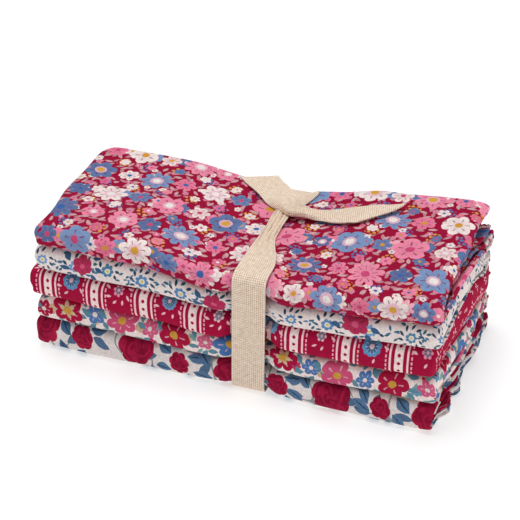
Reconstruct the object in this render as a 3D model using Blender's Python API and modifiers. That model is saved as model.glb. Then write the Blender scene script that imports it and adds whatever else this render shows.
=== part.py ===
"""Five folded fat quarters of cotton in a stack, tied round the middle with a cotton ribbon.

Each quarter is a 550 x 500 mm cut of cloth. It is folded in thirds across its length, and then back and
forth into six layers along its width: three layers in an upper arm and three in a lower arm, both wrapped
by one rounded fold at the front. A layer of the model is the three plies that the first fold makes.

X runs along the bundle, Y from the front folds to the back, and Z up. The stack stands on Z = 0.
"""

import math

import bpy
import numpy as np
from mathutils import Vector

MM = 0.001

# The cloth as cut, and how often it is folded each way.
CUT_LENGTH = 550 * MM
CUT_WIDTH = 500 * MM
THIRDS = 3
LAYERS = 6
BUNDLE_LENGTH = CUT_LENGTH / THIRDS
BUNDLE_DEPTH = CUT_WIDTH / LAYERS

# One folded quarter.
LAYER_THICKNESS = 1.3 * MM
PLAIN_HEIGHT = 12.6 * MM
NOSE_DEPTH = 5.6 * MM
NOSE_SQUARENESS = 3.2
GAP = 0.35 * MM
END_TAPER = 0.35
END_ROUNDING = 1.2 * MM

# The cotton ribbon.
RIBBON_WIDTH = 15 * MM
RIBBON_THICKNESS = 1.0 * MM
TIE_X = 9 * MM
TIE_PULL = 0.9 * MM
TIE_FLAT = 9 * MM
TIE_FADE = 13 * MM
GROOVE_FADE = 3 * MM
TIE_GROOVE = RIBBON_THICKNESS + GAP
KNOT_Y = 13 * MM
KNOT_RISE = 1.2 * MM
KNOT_SIZE = (12.5 * MM, 9.5 * MM, 4.4 * MM)
KNOT_TURN = math.radians(-28)
GATHERED_WIDTH = 6.8 * MM
GATHERED_SHIFT = -2 * MM
GATHER_HOLD = {"front": 13 * MM, "back": 2 * MM}
GATHER_FADE = {"front": 30 * MM, "back": 22 * MM}

# Where the height of the stack is known along X: it is level under the ribbon.
HEIGHT_X = np.array([-90, -48, 0, 18, 50, 90]) * MM

# Height in mm of the top of each quarter at those places, along its front and along its back.
HEIGHTS = {
    "table": {"front": (0, 0, 0, 0, 0, 0), "back": (0, 0, 0, 0, 0, 0)},
    "quarter_rose": {
        "front": (15.4, 14.4, 12.9, 12.9, 13.4, 12.9),
        "back": (12.6, 12.3, 12.0, 12.0, 12.6, 13.2),
    },
    "quarter_posy": {
        "front": (28.6, 27.3, 25.2, 25.2, 25.9, 26.5),
        "back": (24.8, 24.3, 22.9, 23.1, 25.1, 26.3),
    },
    "quarter_stripe": {
        "front": (42.3, 41.9, 38.5, 38.5, 39.4, 41.1),
        "back": (36.9, 36.4, 33.8, 34.2, 37.6, 39.4),
    },
    "quarter_sprig": {
        "front": (55.2, 54.9, 48.9, 48.9, 50.8, 53.2),
        "back": (48.8, 48.2, 44.7, 45.4, 50.1, 52.4),
    },
    "quarter_meadow": {
        "front": (66.4, 66.0, 59.6, 59.6, 61.4, 63.8),
        "back": (60.8, 60.2, 55.6, 57.0, 62.4, 65.4),
    },
}

# Where each quarter's ends and front fold lie, in mm: its left and right end, each at the front and at the
# back, how much further its lower arm reaches to the right at each end, and how far its front stands out.
OUTLINES = {
    "quarter_rose": {"left": (-93.8, -93.0), "right": (91.4, 98.8), "lower_arm": (0.6, 0.4), "front": 1.6},
    "quarter_posy": {"left": (-90.6, -90.6), "right": (91.2, 97.4), "lower_arm": (-0.8, 1.2), "front": 0.8},
    "quarter_stripe": {"left": (-93.8, -92.0), "right": (90.6, 96.6), "lower_arm": (4.2, -0.8), "front": 1.9},
    "quarter_sprig": {"left": (-90.0, -90.8), "right": (90.8, 95.8), "lower_arm": (0.8, 0.9), "front": 0.9},
    "quarter_meadow": {"left": (-88.0, -92.2), "right": (91.2, 93.6), "lower_arm": (0.2, 3.2), "front": 1.5},
}

# How much further each layer reaches to the right at each end, in mm, from the lowest to the highest.
LAYER_ENDS = {"left": (0.0, -1.1, -0.4, 0.5, -0.9, 0.0), "right": (0.0, -1.2, 0.5, 1.0, -0.9, 0.0)}

COLOURS = {
    "quarter_rose": (0.80, 0.74, 0.72),
    "quarter_posy": (0.72, 0.50, 0.50),
    "quarter_stripe": (0.42, 0.02, 0.07),
    "quarter_sprig": (0.70, 0.70, 0.73),
    "quarter_meadow": (0.38, 0.04, 0.12),
    "ribbon_tie": (0.82, 0.66, 0.52),
}
CLOTH_ROUGHNESS = 0.9


def clear_scene():
    """Removes whatever the scene starts with."""
    for obj in list(bpy.data.objects):
        bpy.data.objects.remove(obj, do_unlink=True)


def new_collection(name):
    """A new collection in the scene."""
    collection = bpy.data.collections.new(name)
    bpy.context.scene.collection.children.link(collection)
    return collection


def cloth_material(name):
    """A rough, plain material in the cloth's main colour."""
    material = bpy.data.materials.new(name)
    material.use_nodes = True
    shader = material.node_tree.nodes["Principled BSDF"]
    shader.inputs["Base Color"].default_value = (*COLOURS[name], 1)
    shader.inputs["Roughness"].default_value = CLOTH_ROUGHNESS
    shader.inputs["Metallic"].default_value = 0
    return material


def smooth(t):
    """A soft step from 0 to 1 as t goes from 0 to 1."""
    t = np.clip(t, 0, 1)
    return t * t * (3 - 2 * t)


def eased_row(values, x):
    """The row of heights at x, eased from each known place to the next."""
    x = np.asarray(x, float)
    values = np.asarray(values, float) * MM
    i = np.clip(np.searchsorted(HEIGHT_X, x) - 1, 0, len(HEIGHT_X) - 2)
    t = smooth((x - HEIGHT_X[i]) / (HEIGHT_X[i + 1] - HEIGHT_X[i]))
    return values[i] + (values[i + 1] - values[i]) * t


def tie_grip(x, fade=TIE_FADE):
    """How much the ribbon grips the cloth at x: 1 under it, fading to 0 beside it."""
    return 1 - smooth((np.abs(np.asarray(x, float) - TIE_X) - TIE_FLAT) / fade)


def top_height(name, x, y):
    """Height of a quarter's top at (x, y). The table is flat but for the groove that the ribbon presses."""
    if name == "table":
        return TIE_GROOVE * tie_grip(x, GROOVE_FADE) + 0 * np.asarray(y, float)
    front = eased_row(HEIGHTS[name]["front"], x)
    back = eased_row(HEIGHTS[name]["back"], x)
    return front + (back - front) * smooth(np.asarray(y, float) / BUNDLE_DEPTH + 0.5)


def arc_points(centre, radii, start, end, count, squareness=2.0):
    """Points along part of a rounded outline about a centre, without its two ends. Angles are in degrees."""
    angles = np.radians(np.linspace(start, end, count + 2)[1:-1])
    power = 2 / squareness
    across = np.sign(np.cos(angles)) * np.abs(np.cos(angles)) ** power * radii[0]
    up = np.sign(np.sin(angles)) * np.abs(np.sin(angles)) ** power * radii[1]
    return [(centre[0] + a, centre[1] + u) for a, u in zip(across, up)]


def fold_section():
    """The back-and-forth line of one quarter, from its inner cut edge to the other one.

    Each row is the distance from the front fold, the height from 0 at the lowest layer to 1 at the
    highest, and the layer, counted up from the lowest.
    """
    pitch = (PLAIN_HEIGHT - LAYER_THICKNESS) / (LAYERS - 1)
    levels = [i * pitch for i in range(LAYERS)]
    half = LAYER_THICKNESS / 2
    inner_front = NOSE_DEPTH + 0.2 * MM
    back_turn = BUNDLE_DEPTH - half - pitch / 2
    cut_edge = BUNDLE_DEPTH - 2.4 * MM
    nose_reach = NOSE_DEPTH - half
    top, middle, inner = LAYERS - 1, (LAYERS - 1) / 2, LAYERS // 2

    def run(layer, start, end, count):
        """A layer's straight run, with its two ends."""
        return [(y, levels[layer], layer) for y in np.linspace(start, end, count)]

    def turn(low, at, opens):
        """The small turn between two layers that lie on each other, at the front or the back."""
        start, end = (90, 270) if opens == "back" else (-90, 90)
        centre = (at, (low + 0.5) * pitch)
        points = arc_points(centre, (pitch / 2, pitch / 2), start, end, 3)
        return [(y, z, low + (z > centre[1])) for y, z in points]

    nose = arc_points(
        (NOSE_DEPTH, middle * pitch), (nose_reach, middle * pitch), 90, 270, 7, NOSE_SQUARENESS
    )
    upper = run(inner, cut_edge, inner_front, 4)
    upper += turn(inner, inner_front, "back")[::-1]
    upper += run(inner + 1, inner_front, back_turn, 4)
    upper += turn(inner + 1, back_turn, "front")
    upper += run(top, back_turn, NOSE_DEPTH, 6)
    lower = run(0, NOSE_DEPTH, back_turn, 6)
    lower += turn(0, back_turn, "front")
    lower += run(1, back_turn, inner_front, 4)
    lower += turn(1, inner_front, "back")[::-1]
    lower += run(inner - 1, inner_front, cut_edge, 4)
    around = [(y, z, z / pitch) for y, z in nose]
    rows = np.array(upper + around + lower)
    rows[:, 1] /= levels[top]
    return rows


def layer_ends(name, share_back, layer):
    """The left and right end, in X, of the cloth at each point of the section."""
    outline = OUTLINES[name]
    in_lower_arm = 1 - smooth((layer - 1.5) / 2)
    towards_back = smooth(share_back * 1.15)
    ends = {}
    for side, (front, back) in (("left", outline["left"]), ("right", outline["right"])):
        end = front + (back - front) * towards_back
        ends[side] = end + np.interp(layer, np.arange(LAYERS), LAYER_ENDS[side]) * share_back
    left = ends["left"] + outline["lower_arm"][0] * in_lower_arm
    right = ends["right"] + outline["lower_arm"][1] * in_lower_arm * share_back
    return left * MM, right * MM


def build_quarter(name, below, collection):
    """One folded quarter: the section carried along X through the heights, ends and grip of the stack."""
    section = fold_section()
    share_back = section[:, 0] / BUNDLE_DEPTH
    left, right = layer_ends(name, share_back, section[:, 2])
    inner_x = [-64, -38, -22, -12, -3, 0, 18, 21, 30, 46, 68]
    columns = [left, left + END_ROUNDING]
    columns += [np.full(len(section), x * MM) for x in inner_x]
    columns += [right - END_ROUNDING, right]
    x = np.array(columns)
    stands_out = OUTLINES[name]["front"] * MM
    pull = TIE_PULL * tie_grip(x)
    front = -BUNDLE_DEPTH / 2 - stands_out * (1 - tie_grip(x)) + pull
    back = BUNDLE_DEPTH / 2 - pull
    y = front + share_back * (back - front)
    low = top_height(below, x, y) + (GAP if below != "table" else 0) + LAYER_THICKNESS / 2
    high = top_height(name, x, y) - LAYER_THICKNESS / 2
    z = low + section[:, 1] * (high - low)
    sheet = sheet_from_grid(name, np.stack([x, y, z], axis=2), collection)
    taper = sheet.vertex_groups.new(name="taper")
    across = len(section)
    ends = list(range(across)) + list(range(across * (len(x) - 1), across * len(x)))
    taper.add(range(len(sheet.data.vertices)), 1.0, "REPLACE")
    taper.add(ends, END_TAPER, "REPLACE")
    thicken(sheet, LAYER_THICKNESS, "taper")
    return sheet


def sheet_from_grid(name, grid, collection, closed=False):
    """An open sheet through a grid of points, joined end to end if it is closed."""
    rows, columns = grid.shape[:2]
    faces = []
    for i in range(rows if closed else rows - 1):
        here, there = i * columns, (i + 1) % rows * columns
        for j in range(columns - 1):
            faces.append((here + j, here + j + 1, there + j + 1, there + j))
    mesh = bpy.data.meshes.new(name)
    mesh.from_pydata([tuple(p) for p in grid.reshape(-1, 3)], [], faces)
    mesh.validate()
    sheet = bpy.data.objects.new(name, mesh)
    collection.objects.link(sheet)
    mesh.shade_smooth()
    return sheet


def thicken(sheet, thickness, group=None):
    """Gives an open sheet its thickness, half to each side."""
    solidify = sheet.modifiers.new("Thickness", "SOLIDIFY")
    solidify.thickness = thickness
    solidify.offset = 0
    solidify.use_even_offset = True
    if group:
        solidify.vertex_group = group


def band_line(side):
    """The loop's line at one side of the ribbon, from -1 to 1, as points from under the stack, up its front,
    back over its top and down behind. Near the knot the ribbon is gathered.
    """
    lift = GAP + RIBBON_THICKNESS / 2
    plain_x = TIE_X + side * RIBBON_WIDTH / 2
    front, back = -BUNDLE_DEPTH / 2 + TIE_PULL, BUNDLE_DEPTH / 2 - TIE_PULL
    low = RIBBON_THICKNESS / 2
    first = float(top_height("quarter_rose", plain_x, front))
    last = float(top_height("quarter_sprig", plain_x, front))
    crest = float(top_height("quarter_meadow", plain_x, front))
    rear_crest = float(top_height("quarter_meadow", plain_x, back))
    bottom_nose = (first - TIE_GROOVE) / 2
    top_nose = (crest - last) / 2
    rear = LAYER_THICKNESS
    under = [(y, low) for y in np.linspace(back - rear, front + NOSE_DEPTH, 5)]
    centre = (front + NOSE_DEPTH, low + bottom_nose + lift)
    under += arc_points(centre, (NOSE_DEPTH + lift, bottom_nose + lift), 270, 180, 4, NOSE_SQUARENESS)
    under += [(front - lift, z) for z in np.linspace(first * 0.7, last + top_nose * 0.8, 4)]
    centre = (front + NOSE_DEPTH, crest - top_nose)
    under += arc_points(centre, (NOSE_DEPTH + lift, top_nose + lift), 180, 90, 4, NOSE_SQUARENESS)
    centre = (back - rear, rear_crest - rear)
    behind = arc_points(centre, (rear + lift, rear + lift), 90, 0, 3)
    behind += [(back + lift, z) for z in np.linspace(rear_crest - rear, low + rear + lift, 4)]
    centre = (back - rear, low + rear + lift)
    behind += arc_points(centre, (rear + lift, rear + lift), 0, -90, 3)
    over = []
    for y in np.linspace(front + NOSE_DEPTH, back - rear, 14):
        edge = "front" if y < KNOT_Y else "back"
        gather = 1 - smooth((abs(y - KNOT_Y) - GATHER_HOLD[edge]) / GATHER_FADE[edge])
        half_width = (RIBBON_WIDTH + (GATHERED_WIDTH - RIBBON_WIDTH) * gather) / 2
        x = TIE_X + GATHERED_SHIFT * gather + side * half_width
        rise = KNOT_RISE * smooth(1 - abs(y - KNOT_Y) / KNOT_SIZE[0])
        over.append((x, y, float(top_height("quarter_meadow", x, y)) + lift + rise))
    return [(plain_x, y, z) for y, z in under] + over + [(plain_x, y, z) for y, z in behind]


def build_band(name, collection):
    """The ribbon's loop, a closed strip round the stack that narrows where it is gathered into the knot."""
    lines = np.array([band_line(side) for side in np.linspace(1, -1, 5)])
    band = sheet_from_grid(name, lines.transpose(1, 0, 2), collection, closed=True)
    thicken(band, RIBBON_THICKNESS)
    return band


# The two tails and the strand between them, as seen from above, in mm: the middle of the ribbon, how far
# it stands above the top quarter, its width, and how much higher its back edge is than its front edge.
TAILS = (
    {"x": -16.9, "y": 43.3, "rise": 2.4, "width": 15.2, "bank": 3.4},
    {"x": -11.4, "y": 37.8, "rise": 2.2, "width": 15.2, "bank": 2.8},
    {"x": -5.2, "y": 32.2, "rise": 2.3, "width": 15.2, "bank": 1.6},
    {"x": 0.8, "y": 26.4, "rise": 2.8, "width": 15.2, "bank": 0.6},
    {"x": 4.9, "y": 20.6, "rise": 3.4, "width": 13.0, "bank": 0.0},
    {"x": 8.6, "y": 15.8, "rise": 3.8, "width": 10.4, "bank": 0.0},
    {"x": 13.0, "y": 13.8, "rise": 3.8, "width": 9.4, "bank": 0.0},
    {"x": 18.4, "y": 14.6, "rise": 2.8, "width": 10.0, "bank": 0.0},
    {"x": 25.2, "y": 15.8, "rise": 1.6, "width": 11.0, "bank": 0.0},
    {"x": 32.6, "y": 16.0, "rise": 1.1, "width": 12.2, "bank": 0.0},
    {"x": 41.0, "y": 17.2, "rise": 1.1, "width": 13.4, "bank": 0.0},
    {"x": 50.4, "y": 18.8, "rise": 1.4, "width": 14.2, "bank": 0.4},
    {"x": 60.4, "y": 20.6, "rise": 1.9, "width": 14.4, "bank": 0.8},
)
LEFT_CUT = 9.3 * MM
RIGHT_CUT = 13 * MM
TAIL_STEPS = 40
STEPS_ACROSS = 7


def curve_through(values, count):
    """Values eased along a smooth line through the rows of a table, by cubic steps between them."""
    values = np.asarray(values, float)
    at = np.linspace(0, len(values) - 1, count)
    i = np.clip(at.astype(int), 0, len(values) - 2)
    t = at - i
    padded = np.concatenate([[2 * values[0] - values[1]], values, [2 * values[-1] - values[-2]]])
    before, a, b, after = padded[i], padded[i + 1], padded[i + 2], padded[i + 3]
    return a + 0.5 * t * (b - before + t * (2 * before - 5 * a + 4 * b - after + t * (3 * (a - b) + after - before)))


def build_tails(name, collection):
    """The strip that crosses the knot and ends in the two tails, each cut at a slant."""
    known = {key: [row[key] * MM for row in TAILS] for key in TAILS[0]}
    x, y, rise, width, bank = (curve_through(values, TAIL_STEPS) for values in known.values())
    along = np.stack([np.gradient(x), np.gradient(y)])
    along = (along / np.linalg.norm(along, axis=0))[:, :, None]
    sides = np.linspace(1, -1, STEPS_ACROSS)
    left_slant = smooth(np.linspace(1, -1.5, TAIL_STEPS))[:, None] * (1 + sides) / 2 * LEFT_CUT
    right_slant = smooth(np.linspace(-1.5, 1, TAIL_STEPS))[:, None] * (1 - sides) / 2 * RIGHT_CUT
    across = sides * width[:, None] / 2
    plan_x = x[:, None] - along[1] * across + along[0] * (left_slant - right_slant)
    plan_y = y[:, None] + along[0] * across + along[1] * (left_slant - right_slant)
    surface = top_height("quarter_meadow", plan_x, np.minimum(plan_y, BUNDLE_DEPTH / 2))
    plan_z = surface + RIBBON_THICKNESS / 2 + rise[:, None] + sides * bank[:, None] / 2
    tails = sheet_from_grid(name, np.stack([plan_x, plan_y, plan_z], axis=2), collection)
    thicken(tails, RIBBON_THICKNESS)
    return tails


def build_knot_core(name, collection):
    """The rounded middle of the knot, which the strands pass into."""
    bpy.ops.mesh.primitive_uv_sphere_add(segments=14, ring_count=8, radius=1)
    core = bpy.context.object
    core.name = name
    surface = float(top_height("quarter_meadow", TIE_X, KNOT_Y))
    core.dimensions = KNOT_SIZE
    core.location = (TIE_X, KNOT_Y, surface + GAP + KNOT_SIZE[2] / 2)
    core.rotation_euler = (0, 0, KNOT_TURN)
    for owner in list(core.users_collection):
        owner.objects.unlink(core)
    collection.objects.link(core)
    bpy.context.view_layer.update()
    return core


def join_into(target, helper):
    """Unites a helper's shape with the target's, and keeps the helper out of the render."""
    union = target.modifiers.new("Join " + helper.name, "BOOLEAN")
    union.operation = "UNION"
    union.solver = "EXACT"
    union.object = helper
    helper.hide_render = True
    helper.display_type = "WIRE"


def build_ribbon(name, parts, helpers):
    """The whole ribbon: its loop, its knot and its two tails, as the one length it is."""
    ribbon = build_band(name, parts)
    join_into(ribbon, build_tails("tail_strip", helpers))
    join_into(ribbon, build_knot_core("knot_core", helpers))
    return ribbon


def centre_on_origin(shown, helpers):
    """Moves the bundle so that the middle of its underside is the origin."""
    bpy.context.view_layer.update()
    graph = bpy.context.evaluated_depsgraph_get()
    boxes = [(obj.matrix_world, obj.evaluated_get(graph).bound_box) for obj in shown]
    corners = np.array([placed @ Vector(corner) for placed, box in boxes for corner in box])
    middle = (corners.min(axis=0) + corners.max(axis=0)) / 2
    for obj in shown + helpers:
        obj.location.x -= middle[0]
        obj.location.y -= middle[1]


def main():
    clear_scene()
    parts = new_collection("fat_quarter_bundle")
    helpers = new_collection("helpers")
    names = list(HEIGHTS)
    pieces = [build_quarter(name, below, parts) for below, name in zip(names, names[1:])]
    pieces.append(build_ribbon("ribbon_tie", parts, helpers))
    for piece in pieces:
        piece.data.materials.append(cloth_material(piece.name))
    centre_on_origin(pieces, list(helpers.objects))


main()
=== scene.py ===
"""Five folded fat quarters of cotton in a stack, tied round the middle with a bare canvas ribbon.

Each quarter is one thin sheet, 550 x 500 mm as cut: folded in thirds across its length, then back and
forth into six layers along its width. X runs along the bundle, Y from the front folds to the back, Z up.
"""

import logging
import math
from collections.abc import Mapping, Sequence
from dataclasses import dataclass, replace
from enum import Enum
from functools import partialmethod

import bpy
import numpy as np
from mathutils import Matrix, Vector


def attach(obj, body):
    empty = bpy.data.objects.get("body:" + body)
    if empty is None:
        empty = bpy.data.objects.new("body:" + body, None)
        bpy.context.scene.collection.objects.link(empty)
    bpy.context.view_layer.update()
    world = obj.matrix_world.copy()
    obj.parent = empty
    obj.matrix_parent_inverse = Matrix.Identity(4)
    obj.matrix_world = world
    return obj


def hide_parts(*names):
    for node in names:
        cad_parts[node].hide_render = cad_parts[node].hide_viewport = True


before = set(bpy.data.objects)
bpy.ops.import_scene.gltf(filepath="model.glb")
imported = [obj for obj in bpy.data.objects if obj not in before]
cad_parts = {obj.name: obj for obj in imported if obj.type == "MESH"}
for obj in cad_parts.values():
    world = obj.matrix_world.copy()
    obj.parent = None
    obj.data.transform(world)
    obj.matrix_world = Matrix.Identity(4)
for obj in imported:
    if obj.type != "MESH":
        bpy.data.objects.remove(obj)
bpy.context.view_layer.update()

LOG = logging.getLogger("fat_quarter_bundle")
MM = 0.001
TURN = 2 * math.pi

# The cloth as cut, and the block that it is folded to. A fold sharper than SHARP_FOLD shades as an edge.
CUT_WIDTH = 500 * MM
LAYERS = 6
DEPTH = CUT_WIDTH / LAYERS
LAYER_THICKNESS = 1.3 * MM
PLAIN_HEIGHT = 12.6 * MM
NOSE_DEPTH = 5.6 * MM
NOSE_SQUARENESS = 3.2
GAP = 0.35 * MM
TABLE_GAP = 0.12 * MM
SHARP_FOLD = math.radians(62)
PRINTED_EDGE = 0.16 * MM

# From the bundle's own axes to the frame's.
SHIFT = np.array([-2.9695, 0.7093, 0.0]) * MM


class Side(Enum):
    """The two ends of a folded quarter."""

    LEFT = -1
    RIGHT = 1


def smooth(t: np.ndarray) -> np.ndarray:
    """A soft step from 0 to 1 as t goes from 0 to 1."""
    t = np.clip(t, 0, 1)
    return t * t * (3 - 2 * t)


def step(at: np.ndarray, start: float, length: float) -> np.ndarray:
    """A soft step from 0 to 1 that begins at a start and takes a length."""
    return smooth((at - start) / length)


def running(steps: np.ndarray) -> np.ndarray:
    """The running sum of some steps, from 0 up, along the last axis."""
    sums = np.cumsum(steps, axis=-1)
    return np.concatenate([0 * sums[..., :1], sums], axis=-1)


def paired(first: np.ndarray, second: np.ndarray) -> np.ndarray:
    """Two arrays, broadcast to each other, as one array of pairs."""
    return np.stack(np.broadcast_arrays(first, second), -1)


def squared_oval(degrees: np.ndarray, squareness: float) -> np.ndarray:
    """Points of an oval at some angles: cosine and sine, each to the power 2 / squareness but signed."""
    round_oval = paired(np.cos(np.radians(degrees)), np.sin(np.radians(degrees)))
    return np.sign(round_oval) * np.abs(round_oval) ** (2 / squareness)


def linear(colour: str) -> tuple[float, ...]:
    """A colour written as six hex digits, as the shader's linear red, green, blue and alpha."""
    parts = [int(colour[i : i + 2], 16) / 255 for i in (0, 2, 4)]
    return (*[c / 12.92 if c <= 0.04045 else ((c + 0.055) / 1.055) ** 2.4 for c in parts], 1.0)


# ---------------------------------------------------------------- the shape of the stack


@dataclass(frozen=True)
class Tie:
    """Where the ribbon goes round the stack, and how it presses the cloth.

    pull is how far it pulls in the back folds, and pulls are how far it pulls in each quarter's front
    fold, in mm, from the lowest quarter up. It grips fully over flat to both sides of x, and ever less
    over fade past that. groove is how high the lowest cloth lies over the ribbon below it.
    """

    x: float = 9 * MM
    pull: float = 0.9 * MM
    pulls: tuple[float, ...] = (-1.0, 1.0, 1.6, 1.4, 0.7)
    flat: float = 8 * MM
    fade: float = 6 * MM
    groove: float = 1.35 * MM
    groove_fade: float = 3 * MM

    def past(self, x: np.ndarray, half: float) -> np.ndarray:
        """How far x lies past a half width to either side of the ribbon's middle."""
        return np.maximum(np.abs(x - self.x) - half, 0)

    def grip(self, x: np.ndarray, fade: float) -> np.ndarray:
        """How much the ribbon grips the cloth at x: 1 under it, fading to 0 beside it."""
        return 1 - smooth((np.abs(x - self.x) - self.flat) / fade)


@dataclass(frozen=True)
class Waves:
    """Soft rises and dips of cloth: a sum of slanted sine waves, drawn once from a seed.

    The height at (x, y) is the sum of sin(x * a + y * b + c) over the waves, over their count's root.
    """

    seed: int
    shortest: float
    longest: float
    count: int = 6

    def at(self, x: np.ndarray, y: np.ndarray) -> np.ndarray:
        """The waves' height, about -1 to 1, at (x, y)."""
        draw = np.random.default_rng(self.seed)
        total = 0 * x + 0 * y
        for _ in range(self.count):
            turn, start = draw.uniform(0, TURN, 2)
            rate = TURN / draw.uniform(self.shortest, self.longest)
            total = total + np.sin(rate * (x * math.cos(turn) + y * math.sin(turn)) + start)
        return total / math.sqrt(self.count)


@dataclass(frozen=True)
class Level:
    """The top of one quarter: its heights at KNOWN_X, at the front and at the back, all in mm.

    rumple is the height of its slow waves, settled how much lower its rear right corner lies, and raised
    how much higher the middle of its right end lies.
    """

    front: tuple[float, ...] = (0,) * 7
    back: tuple[float, ...] = (0,) * 7
    rumple: float = 0.0
    settled: float = 0.0
    raised: float = 0.0

    @staticmethod
    def edge(heights: Sequence[float], x: np.ndarray) -> np.ndarray:
        """A row of heights at x, eased from each known place to the next by a soft step."""
        heights = np.array(heights, float) * MM
        i = np.clip(np.searchsorted(KNOWN_X, x) - 1, 0, len(KNOWN_X) - 2)
        t = smooth((x - KNOWN_X[i]) / (KNOWN_X[i + 1] - KNOWN_X[i]))
        return heights[i] + (heights[i + 1] - heights[i]) * t

    def plain(self, x: np.ndarray, y: np.ndarray) -> np.ndarray:
        """The height at (x, y) before it settles, from the front to the back row by a soft step."""
        front, back = self.edge(self.front, x), self.edge(self.back, x)
        return front + (back - front) * smooth(y / DEPTH + 0.5)


KNOWN_X = np.array((-90, -48, 0, 9, 18, 50, 90)) * MM
LEVELS = {
    "table": Level(),
    "quarter_rose": Level(
        (15.4, 14.4, 12.9, 12.9, 12.9, 13.4, 12.9),
        (12.6, 12.3, 12.0, 12.0, 12.0, 12.6, 13.2),
        0.14, 1.6, -0.6,
    ),
    "quarter_posy": Level(
        (28.6, 27.3, 25.2, 25.2, 25.2, 25.9, 26.5),
        (24.8, 24.3, 22.9, 23.0, 23.1, 25.1, 26.3),
        0.16, 3.2, -2.0,
    ),
    "quarter_stripe": Level(
        (42.3, 41.9, 38.5, 38.5, 38.5, 39.4, 41.1),
        (36.9, 36.4, 33.8, 33.8, 34.2, 37.6, 39.4),
        0.18, 4.6, 3.8,
    ),
    "quarter_sprig": Level(
        (55.2, 54.9, 48.9, 48.9, 48.9, 50.8, 53.2),
        (48.8, 48.2, 44.6, 44.2, 45.4, 50.1, 52.4),
        0.2, 6.0, 2.4,
    ),
    "quarter_meadow": Level(
        (66.4, 66.0, 59.6, 59.6, 59.6, 61.4, 63.8),
        (61.6, 61.3, 56.0, 54.6, 57.6, 63.2, 65.7),
        0.34, -0.6,
    ),
}


@dataclass(frozen=True)
class Stack:
    """The heights that the five quarters share: each lies on the one below.

    corner_x and corner_y are where the rear right corner begins to settle and over what length, and
    end_x the same for the right end. end_y is the middle and the spread of what is raised there. slow is
    the shortest and longest wave, and they fade in over free_fade beside the ribbon. pucker is the height
    of the puckers there, pucker_pitch their distance and pucker_reach how soon they fade.
    """

    tie: Tie = Tie()
    corner_x: tuple[float, float] = (52 * MM, 34 * MM)
    corner_y: tuple[float, float] = (6 * MM, 26 * MM)
    end_x: tuple[float, float] = (66 * MM, 24 * MM)
    end_y: tuple[float, float] = (3 * MM, 19 * MM)
    slow: tuple[float, float] = (42 * MM, 90 * MM)
    free_fade: float = 14 * MM
    pucker: float = 0.42 * MM
    pucker_pitch: float = 17 * MM
    pucker_reach: float = 15 * MM

    def top(self, name: str, x: np.ndarray, y: np.ndarray) -> np.ndarray:
        """The height of a quarter's top at (x, y).

        It goes from the front row to the back row by a soft step over the depth. It has settled at the
        rear right corner and is raised or pressed at the middle of the right end. Away from the ribbon it
        is rumpled by slow waves, and beside the ribbon it puckers across, less the further away it is.

        Args:
            name: The quarter, or "table".
            x: Places along the bundle.
            y: Places from front to back.

        Returns:
            The heights in metres.
        """
        x, y = np.broadcast_arrays(np.asarray(x, float), np.asarray(y, float))
        tie, level = self.tie, LEVELS[name]
        if name == "table":
            return tie.groove * tie.grip(x, tie.groove_fade)
        seed = list(LEVELS).index(name)
        corner = step(x, *self.corner_x) * step(y, *self.corner_y)
        middle, spread = self.end_y
        at_end = step(x, *self.end_x) * np.exp(-(((y - middle) / spread) ** 2))
        plain = level.plain(x, y) - level.settled * MM * corner + level.raised * MM * at_end
        slow = Waves(seed * 7 + 3, *self.slow).at(x, y) * level.rumple * MM
        start = seed * 1.9 + np.sign(x - tie.x) * 0.8 + x * 60
        pucker = self.pucker * np.sin(y * TURN / self.pucker_pitch + start) * level.rumple * 3
        pucker = pucker * np.exp(-tie.past(x, tie.flat) / self.pucker_reach)
        return plain + (slow + pucker) * (1 - tie.grip(x, self.free_fade))


# ---------------------------------------------------------------- thin shells of cloth

# Strips of the baked map, each its lowest place and its height: the right side takes most of it, the
# wrong side a strip at the bottom, and the rims lines between the two.
RIGHT_STRIP = (0.13, 0.86)
WRONG_STRIP = (0.01, 0.08)
RIM_STRIP = (0.096, 0.004)
RIM_STEP = 0.007
STRIP_SIDES = (0.01, 0.98)


def in_strip(place: np.ndarray, low: float, height: float) -> np.ndarray:
    """Places from 0 to 1, moved into a strip of the baked map."""
    return np.array([STRIP_SIDES[0], low]) + np.array([STRIP_SIDES[1], height]) * place


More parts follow.
